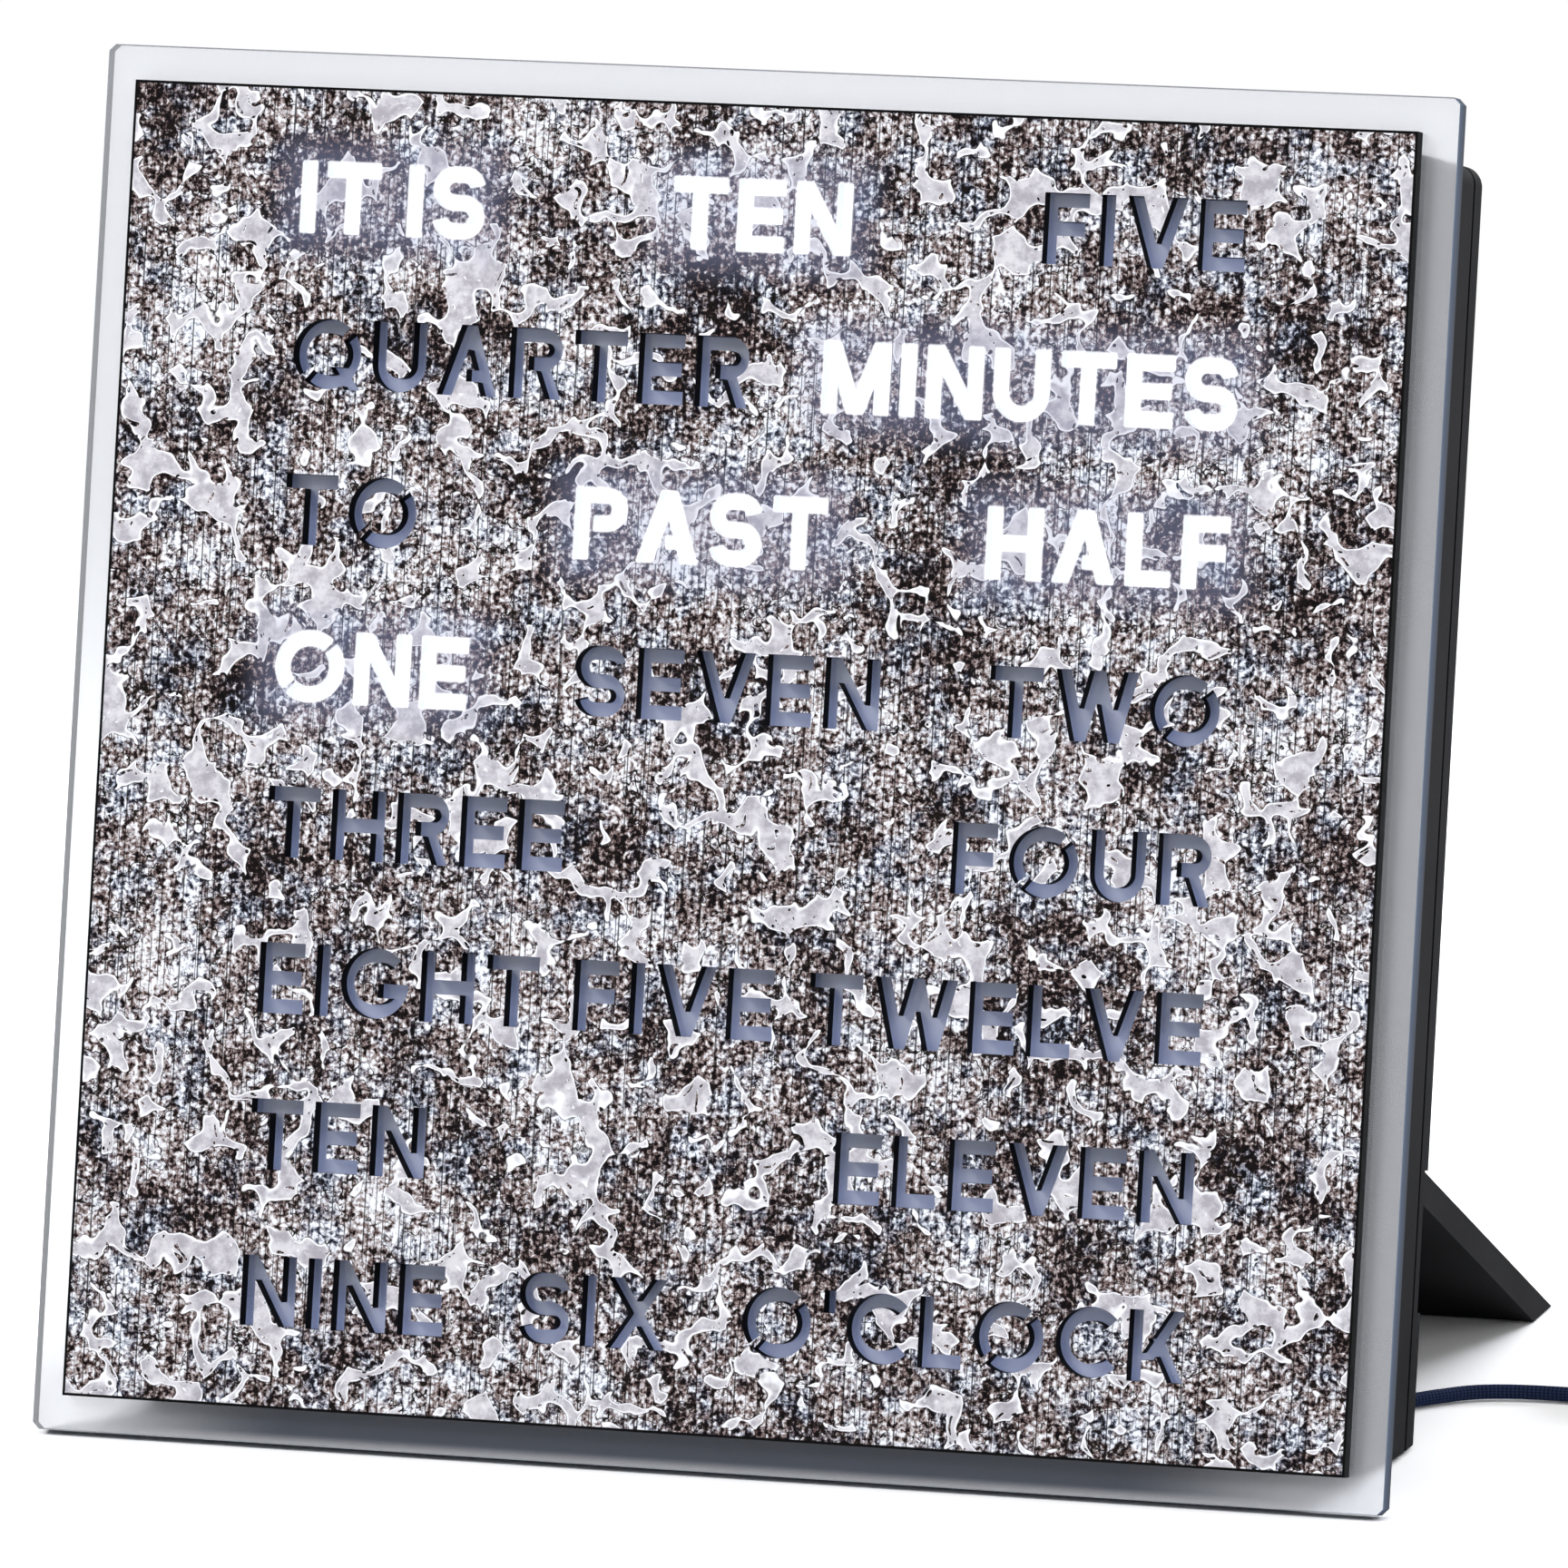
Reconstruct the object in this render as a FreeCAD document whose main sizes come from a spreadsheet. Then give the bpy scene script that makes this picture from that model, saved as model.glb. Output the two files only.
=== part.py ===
import FreeCAD, Part
import Sketcher
import math
import os
import re

from FreeCAD import Placement, Rotation, Vector

# Word clock: a clear glass pane that leans back, a stone-look face plate with stencil words
# in front of it, and a black casing with a fold-out foot behind it.
# Every piece is drawn in the pane's own frame and then leaned back as a whole:
# X runs right, Y runs back from the pane's front face, Z runs up the pane from its lower edge.

os.makedirs("parts", exist_ok=True)
doc = FreeCAD.newDocument("word_clock")

# Driving dimensions in millimetres and degrees
SIZES = {
    "lean": 11.0,
    "table_gap": 0.6,
    "slack": 0.3,
    "fit_gap": 0.05,
    "pane_side": 205.0,
    "pane_thick": 4.0,
    "pane_corner": 1.0,
    "plate_margin": 5.3,
    "plate_thick": 3.0,
    "pen": 2.1,
    "letter_gap": 1.8,
    "inner_space": 4.5,
    "word_space": 5.4,
    "bridge": 0.8,
    "text_left": 26.7,
    "text_right": 24.7,
    "text_low": 12.0,
    "text_high": 11.0,
    "tape_thick": 0.5,
    "case_side_inset": 7.0,
    "case_low": 5.6,
    "case_high_inset": 7.4,
    "case_corner": 3.0,
    "case_wall": 2.4,
    "shell_depth": 37.5,
    "groove": 1.0,
    "cover_depth": 7.0,
    "cover_wall": 2.2,
    "cover_edge": 2.8,
    "flange_thick": 2.0,
    "flange_side": 8.2,
    "flange_low": 7.0,
    "flange_high": 6.0,
    "lip_thick": 1.6,
    "lip_depth": 2.0,
    "corner_block": 7.0,
    "corner_depth": 18.0,
    "corner_screw": 1.4,
    "corner_head": 2.6,
    "corner_reach": 14.0,
    "boss_radius": 2.6,
    "board_screw": 1.1,
    "board_head": 2.2,
    "board_reach": 9.0,
    "board_screw_low": 24.4,
    "board_screw_high": 22.6,
    "head_thick": 1.5,
    "sink_depth": 2.2,
    "baffle_depth": 13.7,
    "pocket_margin": 1.3,
    "tile_thick": 0.8,
    "board_thick": 1.6,
    "lamp_wide": 2.8,
    "lamp_high": 3.5,
    "lamp_thick": 0.8,
    "switch_long": 2.9,
    "switch_high": 2.4,
    "switch_thick": 1.1,
    "chip_side": 10.0,
    "chip_thick": 1.8,
    "chip_spread": 50.0,
    "chip_high": 99.0,
    "driver_low": 52.0,
    "driver_high": 145.0,
    "crystal_radius": 1.5,
    "crystal_long": 8.0,
    "capacitor_radius": 4.0,
    "capacitor_long": 10.0,
    "cell_radius": 8.0,
    "cell_thick": 3.2,
    "holder_wall": 1.2,
    "holder_floor": 1.0,
    "hinge_high": 49.3,
    "hinge_inset": 3.1,
    "foot_drop": 12.7,
    "foot_thick": 4.8,
    "foot_side_gap": 0.4,
    "recess_side": 2.6,
    "recess_low": 28.5,
    "recess_gap": 0.5,
    "recess_floor": 2.0,
    "notch_high": 49.5,
    "notch_depth": 4.4,
    "lug_inset": 33.5,
    "lug_wide": 8.0,
    "pin_radius": 1.25,
    "pin_length": 22.0,
    "stop_inset": 65.5,
    "stop_wide": 5.0,
    "button_radius": 3.5,
    "button_pitch": 15.0,
    "button_inset": 50.5,
    "button_drop": 25.6,
    "button_proud": 0.8,
    "button_travel": 0.5,
    "button_flange": 1.0,
    "button_board_high": 20.0,
    "tact_side": 6.0,
    "tact_thick": 2.5,
    "plunger": 0.5,
    "post_long": 7.3,
    "post_radius": 2.5,
    "post_step": 8.0,
    "post_depth": 5.5,
    "small_screw": 1.0,
    "small_head": 2.0,
    "header_high": 5.0,
    "header_thick": 6.0,
    "ribbon_wide": 12.0,
    "ribbon_thick": 0.8,
    "cord_radius": 1.1,
    "bush_inset": 13.5,
    "bush_rise": 10.4,
    "bush_nose": 6.5,
    "bush_neck": 2.6,
    "bush_flange": 1.5,
    "tie_thick": 1.5,
    "tie_wide": 2.5,
    "coil_radius": 13.0,
    "coil_pitch": 2.7,
    "coil_turns": 4.0625,
}

# Words of the face from the top row down, with True where a word is lit
ROWS = [
    [("IT IS", True), ("TEN", True), ("FIVE", False)],
    [("QUARTER", False), ("MINUTES", True)],
    [("TO", False), ("PAST", True), ("HALF", True)],
    [("ONE", True), ("SEVEN", False), ("TWO", False)],
    [("THREE", False), ("FOUR", False)],
    [("EIGHT", False), ("FIVE", False), ("TWELVE", False)],
    [("TEN", False), ("ELEVEN", False)],
    [("NINE", False), ("SIX", False), ("O'CLOCK", False)],
]

sheet = doc.addObject("Spreadsheet::Sheet", "Sizes")
for line, (name, value) in enumerate(SIZES.items(), start=1):
    sheet.set(f"A{line}", name)
    sheet.set(f"B{line}", str(value))
    sheet.setAlias(f"B{line}", name)
doc.recompute()


def size(name):
    """The value of one cell of the sheet."""
    return float(sheet.get(name))


def formula(text):
    """An expression in which each size is named with its sheet."""
    def with_sheet(match):
        word = match.group()
        return f"Sizes.{word}" if word in SIZES else word
    return re.sub(r"[a-z_]+", with_sheet, text)


# Planes across the clock, from front to back, as formulas of the sizes
CASE_FRONT = "(pane_thick + tape_thick)"
FLANGE_BACK = f"({CASE_FRONT} + flange_thick)"
SHELL_BACK = f"({CASE_FRONT} + shell_depth)"
COVER_FRONT = f"({SHELL_BACK} + groove)"
CASE_BACK = f"({COVER_FRONT} + cover_depth)"
BAFFLE_FRONT = "(pane_thick + slack)"
BAFFLE_BACK = f"({BAFFLE_FRONT} + baffle_depth)"
BOARD_FRONT = f"({BAFFLE_BACK} + slack)"
BOARD_BACK = f"({BOARD_FRONT} + board_thick)"
COVER_INNER = f"({CASE_BACK} - cover_wall)"
HINGE_BACK = f"({CASE_BACK} - hinge_inset)"
RECESS_FLOOR = f"({HINGE_BACK} - foot_thick / 2 - recess_gap)"
BUTTON_BOARD_BACK = f"({COVER_INNER} - post_long)"
BUTTON_BOARD_FRONT = f"({BUTTON_BOARD_BACK} - board_thick)"
PLUNGER_BACK = f"({BUTTON_BOARD_BACK} + tact_thick + plunger)"
BUTTON_SEAT = f"({COVER_INNER} - button_flange - slack)"

# Heights up the pane and half widths, as formulas of the sizes
CASE_HIGH = "(pane_side - case_high_inset)"
CASE_SIDE = "(pane_side / 2 - case_side_inset)"
CAVITY_SIDE = f"({CASE_SIDE} - case_wall)"
CAVITY_HIGH = f"({CASE_HIGH} - case_wall)"
CAVITY_LOW = f"(({CASE_BACK} - pane_thick) * tan(lean) + table_gap / cos(lean) + case_wall)"
WINDOW_SIDE = f"({CASE_SIDE} - flange_side)"
WINDOW_LOW = "(case_low + flange_low)"
WINDOW_HIGH = f"({CASE_HIGH} - flange_high)"
RECESS_SIDE = f"({CASE_SIDE} - recess_side)"
LUG_PLACE = f"({CASE_SIDE} - lug_inset)"
STOP_PLACE = f"({CASE_SIDE} - stop_inset)"
BUTTON_PLACE = f"(button_inset - {CASE_SIDE})"
BUTTON_HIGH = f"({CASE_HIGH} - button_drop)"
BUSH_PLACE = f"({CASE_SIDE} - bush_inset)"
BUSH_HIGH = "(case_low + bush_rise)"
FOOT_SIDE = f"({RECESS_SIDE} - foot_side_gap)"

# How far the foot reaches from its hinge, where its upper face meets the table
FOOT_RISE = "(hinge_high + foot_thick / 2 * cos(foot_drop))"
FOOT_START = f"({HINGE_BACK} + foot_thick / 2 * sin(foot_drop) - pane_thick)"
FOOT_SLOPE = "(sin(foot_drop) + cos(foot_drop) * tan(lean))"
FOOT_REACH = f"(({FOOT_RISE} - {FOOT_START} * tan(lean)) / {FOOT_SLOPE})"
RECESS_HIGH = f"(hinge_high + {FOOT_REACH} + recess_gap)"
SIGNS = ("-", "")


def sided(sign, near, far):
    """A span from near to far off the middle, on the left or the right."""
    return (f"-({far})", f"-({near})") if sign else (near, far)


def evaluate(text):
    """The number that a formula gives with the sheet's values."""
    return float(sheet.evalExpression(formula(text)))


# The whole clock leans back, stands on the table and has its middle over the origin
LEAN = size("lean")
LEAN_TURN = Rotation(Vector(1, 0, 0), -LEAN)
foot_tip = Vector(
    0,
    evaluate(f"{HINGE_BACK} + {FOOT_REACH} * cos(foot_drop) + foot_thick / 2 * sin(foot_drop)"),
    evaluate(f"hinge_high - {FOOT_REACH} * sin(foot_drop) + foot_thick / 2 * cos(foot_drop)"),
)
plate_front = Vector(0, -size("plate_thick"), size("plate_margin"))
depth_middle = (LEAN_TURN.multVec(foot_tip).y + LEAN_TURN.multVec(plate_front).y) / 2
pane_drop = size("pane_thick") * math.sin(math.radians(LEAN))
STAND = Placement(Vector(0, -depth_middle, pane_drop), LEAN_TURN)
nodes = []


def block(name, across, back, up):
    """A box between two formulas along each axis: across X, back along Y and up Z."""
    box = doc.addObject("Part::Box", name)
    spans = zip(("Length", "Width", "Height"), "xyz", (across, back, up))
    for side, axis, (low, high) in spans:
        box.setExpression(side, formula(f"({high}) - ({low})"))
        box.setExpression(f"Placement.Base.{axis}", formula(f"{low}"))
    return box


def tilted_block(name, half_across, start, angle, along, up, middle="0"):
    """A box turned about X by an angle, from a start line (Y, Z), with its own run and rise."""
    box = doc.addObject("Part::Box", name)
    box.Placement = Placement(Vector(), Rotation(Vector(1, 0, 0), 1))
    box.setExpression("Placement.Rotation.Angle", formula(angle))
    box.setExpression("Placement.Base.x", formula(f"{middle} - ({half_across})"))
    box.setExpression("Placement.Base.y", formula(start[0]))
    box.setExpression("Placement.Base.z", formula(start[1]))
    box.setExpression("Length", formula(f"2 * ({half_across})"))
    box.setExpression("Width", formula(along))
    box.setExpression("Height", formula(up))
    return box


ROD_TURNS = {"x": Rotation(Vector(0, 1, 0), 90), "y": Rotation(Vector(1, 0, 0), -90)}


def set_round(part, axis, length, start):
    """Lay a cylinder or cone along X or Y from a start point of three formulas."""
    part.Placement = Placement(Vector(), ROD_TURNS[axis])
    part.setExpression("Height", formula(length))
    for place, value in zip("xyz", start):
        part.setExpression(f"Placement.Base.{place}", formula(value))
    return part


def rod(name, axis, radius, length, start):
    """A cylinder along X or Y."""
    cylinder = doc.addObject("Part::Cylinder", name)
    cylinder.setExpression("Radius", formula(radius))
    return set_round(cylinder, axis, length, start)


def taper(name, axis, radius_near, radius_far, length, start):
    """A cone along X or Y."""
    cone = doc.addObject("Part::Cone", name)
    cone.setExpression("Radius1", formula(radius_near))
    cone.setExpression("Radius2", formula(radius_far))
    return set_round(cone, axis, length, start)


def join(name, *parts):
    """Several overlapping shapes made one."""
    fused = doc.addObject("Part::MultiFuse", name)
    fused.Shapes = list(parts)
    return fused


def cut(name, base, *tools):
    """A shape with one or more tools taken out of it."""
    result = doc.addObject("Part::Cut", name)
    result.Base = base
    result.Tool = tools[0] if len(tools) == 1 else join(f"{name}_tools", *tools)
    return result


def given(name, shape):
    """A shape worked out from the letters or a route, kept as an object of the document."""
    feature = doc.addObject("Part::Feature", name)
    feature.Shape = shape
    return feature


def node(name, *parts, placement=STAND):
    """One named piece, or a group of alike pieces, standing in the clock's own place."""
    piece = doc.addObject("Part::Compound", name)
    piece.Label = name
    piece.Links = list(parts)
    piece.Placement = placement
    nodes.append(piece)
    return piece


def slab(name, half_across, up, back, corner=None, corner_kind="Fillet"):
    """A rectangular plate: a sketch on the XZ plane padded backwards, with finished corners."""
    body = doc.addObject("PartDesign::Body", f"{name}_body")
    sketch = body.newObject("Sketcher::SketchObject", f"{name}_outline")
    plane = next(item for item in body.Origin.OriginFeatures if item.Role == "XZ_Plane")
    sketch.AttachmentSupport = [(plane, "")]
    sketch.MapMode = "FlatFace"
    sketch.setExpression("AttachmentOffset.Base.z", formula(f"-({back[0]})"))
    corners = [Vector(-10, 5, 0), Vector(10, 5, 0), Vector(10, 20, 0), Vector(-10, 20, 0)]
    for start, end in zip(corners, corners[1:] + corners[:1]):
        sketch.addGeometry(Part.LineSegment(start, end), False)
    for line in range(4):
        sketch.addConstraint(Sketcher.Constraint("Coincident", line, 2, (line + 1) % 4, 1))
        sketch.addConstraint(Sketcher.Constraint(("Horizontal", "Vertical")[line % 2], line))
    distances = [
        ("left", "DistanceX", (0, 1, -1, 1), half_across),
        ("right", "DistanceX", (-1, 1, 0, 2), half_across),
        ("lower", "DistanceY", (-1, 1, 0, 1), up[0]),
        ("upper", "DistanceY", (-1, 1, 1, 2), up[1]),
    ]
    for title, kind, ends, value in distances:
        number = sketch.addConstraint(Sketcher.Constraint(kind, *ends, 10.0))
        sketch.renameConstraint(number, title)
        sketch.setExpression(f"Constraints.{title}", formula(value))
    pad = body.newObject("PartDesign::Pad", f"{name}_pad")
    pad.Profile = sketch
    pad.Reversed = True
    pad.setExpression("Length", formula(f"({back[1]}) - ({back[0]})"))
    if corner:
        doc.recompute()
        edges = [
            f"Edge{number}"
            for number, edge in enumerate(pad.Shape.Edges, start=1)
            if abs(edge.tangentAt(edge.FirstParameter).y) > 0.99
        ]
        finish = body.newObject(f"PartDesign::{corner_kind}", f"{name}_corners")
        finish.Base = (pad, edges)
        finish.setExpression("Radius" if corner_kind == "Fillet" else "Size", formula(corner))
    return body


def under_table(name, clearance):
    """Everything lower than a clearance above the table, in the pane's frame."""
    start = (f"pane_thick + (pane_side - ({clearance})) * sin(lean)",
             f"(({clearance}) - pane_side) * cos(lean)")
    return tilted_block(name, "pane_side", start, "lean", "pane_side", "pane_side")


# Lettering: each letter is a few strokes of one pen width, with bridges that hold its middle.
# Widths are shares of the height, and the widest row sets how tall the letters can be.
SHARES = {
    "'": 0.17, "A": 0.88, "C": 0.87, "E": 0.67, "F": 0.65, "G": 1.0, "H": 0.79, "I": 0.2,
    "K": 0.81, "L": 0.63, "M": 0.96, "N": 0.8, "O": 1.0, "P": 0.75, "Q": 1.0, "R": 0.77,
    "S": 0.74, "T": 0.77, "U": 0.79, "V": 0.87, "W": 1.2, "X": 0.87,
}
plate_side = size("pane_side") - 2 * size("plate_margin")
text_width = plate_side - size("text_left") - size("text_right")
row_left = size("text_left") - plate_side / 2


def height_for(row):
    """The letter height at which a row of words fills the text's width."""
    letters = [letter for word, lit in row for letter in word if letter != " "]
    inner_gaps = sum(word.count(" ") for word, lit in row)
    spaces = (len(row) - 1) * size("word_space") + inner_gaps * size("inner_space")
    gaps = (len(letters) - len(row) - inner_gaps) * size("letter_gap")
    return (text_width - spaces - gaps) / sum(SHARES[letter] for letter in letters)


cap = min(height_for(row) for row in ROWS)
row_pitch = (plate_side - size("text_low") - size("text_high") - cap) / (len(ROWS) - 1)
pen = size("pen")
bridge = size("bridge")
letter_gap = size("letter_gap")
slope_pen = 1.12 * pen
ring = cap / 2
bowl = 0.3 * cap
hook = (cap + pen) / 4
bridge_turn = math.degrees(bridge / 2 / (ring - pen / 2))


def flat(*corners):
    """A flat face with straight sides through (x, z) corners."""
    points = [Vector(x, 0, z) for x, z in corners]
    return Part.Face(Part.makePolygon(points + points[:1]))


def bar(left, low, right, high):
    """An upright or level stroke."""
    return flat((left, low), (right, low), (right, high), (left, high))


def slant(low_x, high_x, low=0.0, high=None):
    """A leaning stroke with level ends, from low_x at its foot to high_x at its head."""
    top = cap if high is None else high
    return flat((low_x, low), (low_x + slope_pen, low), (high_x + slope_pen, top), (high_x, top))


def bow(x, z, radius, start, end):
    """A ring sector of one pen width inside a radius, between two angles."""
    def at(distance, angle):
        turn = math.radians(angle)
        return Vector(x + distance * math.cos(turn), 0, z + distance * math.sin(turn))

    def arc(distance, first, last):
        return Part.Arc(at(distance, first), at(distance, (first + last) / 2), at(distance, last))

    sides = [
        arc(radius, start, end).toShape(),
        Part.makeLine(at(radius, end), at(radius - pen, end)),
        arc(radius - pen, end, start).toShape(),
        Part.makeLine(at(radius - pen, start), at(radius, start)),
    ]
    return Part.Face(Part.Wire(sides))


def ring_letter():
    """The O: two half rings with a bridge at the upper right and the lower left."""
    first = 45 + bridge_turn
    return [bow(ring, ring, ring, first, first + 180 - 2 * bridge_turn),
            bow(ring, ring, ring, first + 180, first + 360 - 2 * bridge_turn)]


def bowl_letter(wide):
    """The P: a stem and a bowl, with a bridge beside the stem under the bowl's middle."""
    return [
        bar(0, 0, pen, cap),
        bar(0, cap - pen, wide - bowl, cap),
        bar(pen + bridge, cap - 2 * bowl, wide - bowl, cap - 2 * bowl + pen),
        bow(wide - bowl, cap - bowl, bowl, -90, 90),
    ]


def hook_letter(wide):
    """The S: two hooks that face opposite ways, joined by level strokes."""
    far = wide - hook
    return [
        bow(hook, cap - hook, hook, 90, 270),
        bow(far, cap - hook, hook, 15, 90),
        bow(far, hook, hook, -90, 90),
        bow(hook, hook, hook, 195, 270),
        bar(hook, 0, far, pen),
        bar(hook, (cap - pen) / 2, far, (cap + pen) / 2),
        bar(hook, cap - pen, far, cap),
    ]


def peak_letter(wide):
    """The A: two legs and a crossbar that stops a bridge short of the left leg."""
    half = (wide - slope_pen) / 2
    cross_low = 0.2 * cap
    cross_high = cross_low + 0.85 * pen
    cross_left = half * cross_high / cap + slope_pen + bridge
    return [slant(0, half), slant(2 * half, half),
            bar(cross_left, cross_low, wide - slope_pen, cross_high)]


def wave_letter(wide):
    """The W: four leaning strokes."""
    step = (wide - slope_pen) / 4
    return [slant(step, 0), slant(step, 2 * step), slant(3 * step, 2 * step),
            slant(3 * step, 4 * step)]


def stems(wide):
    """The two upright strokes of H, M and N."""
    return [bar(0, 0, pen, cap), bar(wide - pen, 0, wide, cap)]


# Strokes of each letter, from its width
LETTERS = {
    "'": lambda w: [bar(0, 0.68 * cap, w, cap)],
    "A": peak_letter,
    "C": lambda w: [bow(ring, ring, ring, 42, 318)],
    "E": lambda w: [bar(0, 0, pen, cap), bar(0, 0, w, pen), bar(0, cap - pen, w, cap),
                    bar(0, (cap - pen) / 2, 0.95 * w, (cap + pen) / 2)],
    "F": lambda w: [bar(0, 0, pen, cap), bar(0, cap - pen, w, cap),
                    bar(0, (cap - pen) / 2, 0.92 * w, (cap + pen) / 2)],
    "G": lambda w: [bow(ring, ring, ring, 42, 360), bar(1.1 * ring, ring - pen, w - pen / 2, ring)],
    "H": lambda w: stems(w) + [bar(0, (cap - pen) / 2, w, (cap + pen) / 2)],
    "I": lambda w: [bar((w - pen) / 2, 0, (w + pen) / 2, cap)],
    "K": lambda w: [bar(0, 0, pen, cap), slant(0.7 * pen, w - slope_pen, 0.3 * cap),
                    slant(w - slope_pen, 0.34 * w, 0, 0.6 * cap)],
    "L": lambda w: [bar(0, 0, pen, cap), bar(0, 0, w, pen)],
    "M": lambda w: stems(w) + [slant((w - slope_pen) / 2, 0),
                               slant((w - slope_pen) / 2, w - slope_pen)],
    "N": lambda w: stems(w) + [slant(w - slope_pen, 0)],
    "O": lambda w: ring_letter(),
    "P": bowl_letter,
    "Q": lambda w: ring_letter() + [slant(w - slope_pen, 0.55 * w, 0, 0.32 * cap)],
    "R": lambda w: bowl_letter(w) + [slant(w - slope_pen, w - bowl - 0.6 * pen, 0,
                                           cap - 2 * bowl + pen / 2)],
    "S": hook_letter,
    "T": lambda w: [bar(0, cap - pen, w, cap), bar((w - pen) / 2, 0, (w + pen) / 2, cap)],
    "U": lambda w: [bar(0, w / 2, pen, cap), bar(w - pen, w / 2, w, cap),
                    bow(w / 2, w / 2, w / 2, 180, 360)],
    "V": lambda w: [slant((w - slope_pen) / 2, 0), slant((w - slope_pen) / 2, w - slope_pen)],
    "W": wave_letter,
    "X": lambda w: [slant(0, w - slope_pen), slant(w - slope_pen, 0)],
}


def letter_places(word):
    """The left side of each letter of a word, and the word's whole width."""
    places = []
    reach = 0.0
    for letter in word:
        if letter == " ":
            reach += size("inner_space") - letter_gap
            continue
        places.append((letter, reach))
        reach += SHARES[letter] * cap + letter_gap
    return places, reach - letter_gap


def lay_out_words():
    """Every word with its state, left side, baseline and letters, each row spread to both ends."""
    laid = []
    low = size("plate_margin") + size("text_low")
    for number, row in enumerate(ROWS):
        baseline = low + (len(ROWS) - 1 - number) * row_pitch
        widths = [letter_places(word)[1] for word, lit in row]
        space = (text_width - sum(widths)) / (len(row) - 1)
        left = row_left
        for (word, lit), wide in zip(row, widths):
            laid.append({"letters": letter_places(word)[0], "lit": lit,
                         "left": left, "wide": wide, "low": baseline})
            left += wide + space
    return laid


words = lay_out_words()


def letter_prism(letter, left, low):
    """One letter as a solid that runs through the face plate."""
    deep = Vector(0, size("plate_thick") + 2, 0)
    solids = [face.extrude(deep) for face in LETTERS[letter](SHARES[letter] * cap)]
    shape = solids[0].fuse(solids[1:]).removeSplitter() if len(solids) > 1 else solids[0]
    shape.translate(Vector(left, -size("plate_thick") - 1, low))
    return shape


def word_boxes(margin, front, deep, lit=None):
    """One box behind each word, or behind the words of one state."""
    boxes = []
    for word in words:
        if lit is not None and word["lit"] is not lit:
            continue
        corner = Vector(word["left"] - margin, front, word["low"] - margin)
        boxes.append(Part.makeBox(word["wide"] + 2 * margin, deep, cap + 2 * margin, corner))
    return Part.makeCompound(boxes)


# Glass pane and face plate
pane = slab("pane", "pane_side / 2", ("0", "pane_side"), ("0", "pane_thick"),
            "pane_corner", "Chamfer")
node("glass_pane", pane)

plate_slab = slab("plate", "pane_side / 2 - plate_margin",
                  ("plate_margin", "pane_side - plate_margin"), ("-plate_thick", "0"))
letter_solids = [
    letter_prism(letter, word["left"] + place, word["low"])
    for word in words
    for letter, place in word["letters"]
]
letter_cuts = given("letter_cuts", Part.makeCompound(letter_solids))
node("face_plate", cut("plate_with_words", plate_slab, letter_cuts))

# Tape frame that holds the casing on the pane
tape_slab = slab("tape", f"{CASE_SIDE} - slack", ("case_low + slack", f"{CASE_HIGH} - slack"),
                 ("pane_thick", CASE_FRONT), "case_corner")
tape_window = block("tape_window", (f"-{WINDOW_SIDE}", WINDOW_SIDE), ("0", CASE_BACK),
                    (WINDOW_LOW, WINDOW_HIGH))
node("mounting_tape", cut("tape_frame", tape_slab, tape_window))

# Screw places: (X, Z) formulas for the cover's four corners and the lamp board's four sides
CORNER_SIDE = f"({CAVITY_SIDE} - corner_block / 2)"
CORNER_PLACES = [
    (f"{sign}{CORNER_SIDE}", height)
    for sign in SIGNS
    for height in (f"({CAVITY_LOW} + corner_block / 2)", f"({CAVITY_HIGH} - corner_block / 2)")
]
BOARD_SIDE = f"({CAVITY_SIDE} - boss_radius)"
BOARD_PLACES = [
    (f"{sign}{BOARD_SIDE}", height)
    for sign in SIGNS
    for height in ("(case_low + board_screw_low)", f"({CASE_HIGH} - board_screw_high)")
]


def rods_at(name, places, radius, front, back):
    """Alike cylinders along Y, one at each (X, Z) place."""
    return [
        rod(name, "y", radius, f"({back}) - ({front})", (across, front, up))
        for across, up in places
    ]


def screw_group(name, places, shank, head, tip, seat, thick, head_behind=True):
    """Alike screws along Y: the shank ends at its tip, the head sits on its seat."""
    screws = []
    for across, up in places:
        ends = (tip, seat) if head_behind else (seat, tip)
        body = rod(f"{name}_shank", "y", shank, f"({ends[1]}) - ({ends[0]})",
                   (across, ends[0], up))
        start = seat if head_behind else f"({seat}) - {thick}"
        cap_rod = rod(f"{name}_head", "y", head, thick, (across, start, up))
        screws.append(join(name, body, cap_rod))
    return screws


# Front shell: an open frame with a flange behind the pane, screw blocks and board bosses
shell_slab = slab("shell", CASE_SIDE, ("case_low", CASE_HIGH), (CASE_FRONT, SHELL_BACK),
                  "case_corner")
shell_cavity = block("shell_cavity", (f"-{CAVITY_SIDE}", CAVITY_SIDE), (FLANGE_BACK, CASE_BACK),
                     (CAVITY_LOW, CAVITY_HIGH))
shell_window = block("shell_window", (f"-{WINDOW_SIDE}", WINDOW_SIDE), ("0", CASE_BACK),
                     (WINDOW_LOW, WINDOW_HIGH))
shell_under = under_table("shell_under", "table_gap")
shell_frame = cut("shell_frame", shell_slab, shell_cavity, shell_window, shell_under)
corner_blocks = [
    block("corner_block", sided(sign, f"{CAVITY_SIDE} - corner_block", f"{CAVITY_SIDE} + 1"),
          (f"{SHELL_BACK} - corner_depth", SHELL_BACK), span)
    for sign in SIGNS
    for span in ((f"{CAVITY_LOW} - 1", f"{CAVITY_LOW} + corner_block"),
                 (f"{CAVITY_HIGH} - corner_block", f"{CAVITY_HIGH} + 1"))
]
corner_pilots = rods_at("corner_pilot", CORNER_PLACES, "corner_screw + fit_gap",
                        f"{SHELL_BACK} - corner_reach", CASE_BACK)
board_bosses = rods_at("board_boss", BOARD_PLACES, "boss_radius",
                       f"{FLANGE_BACK} - 1", BOARD_FRONT)
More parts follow.
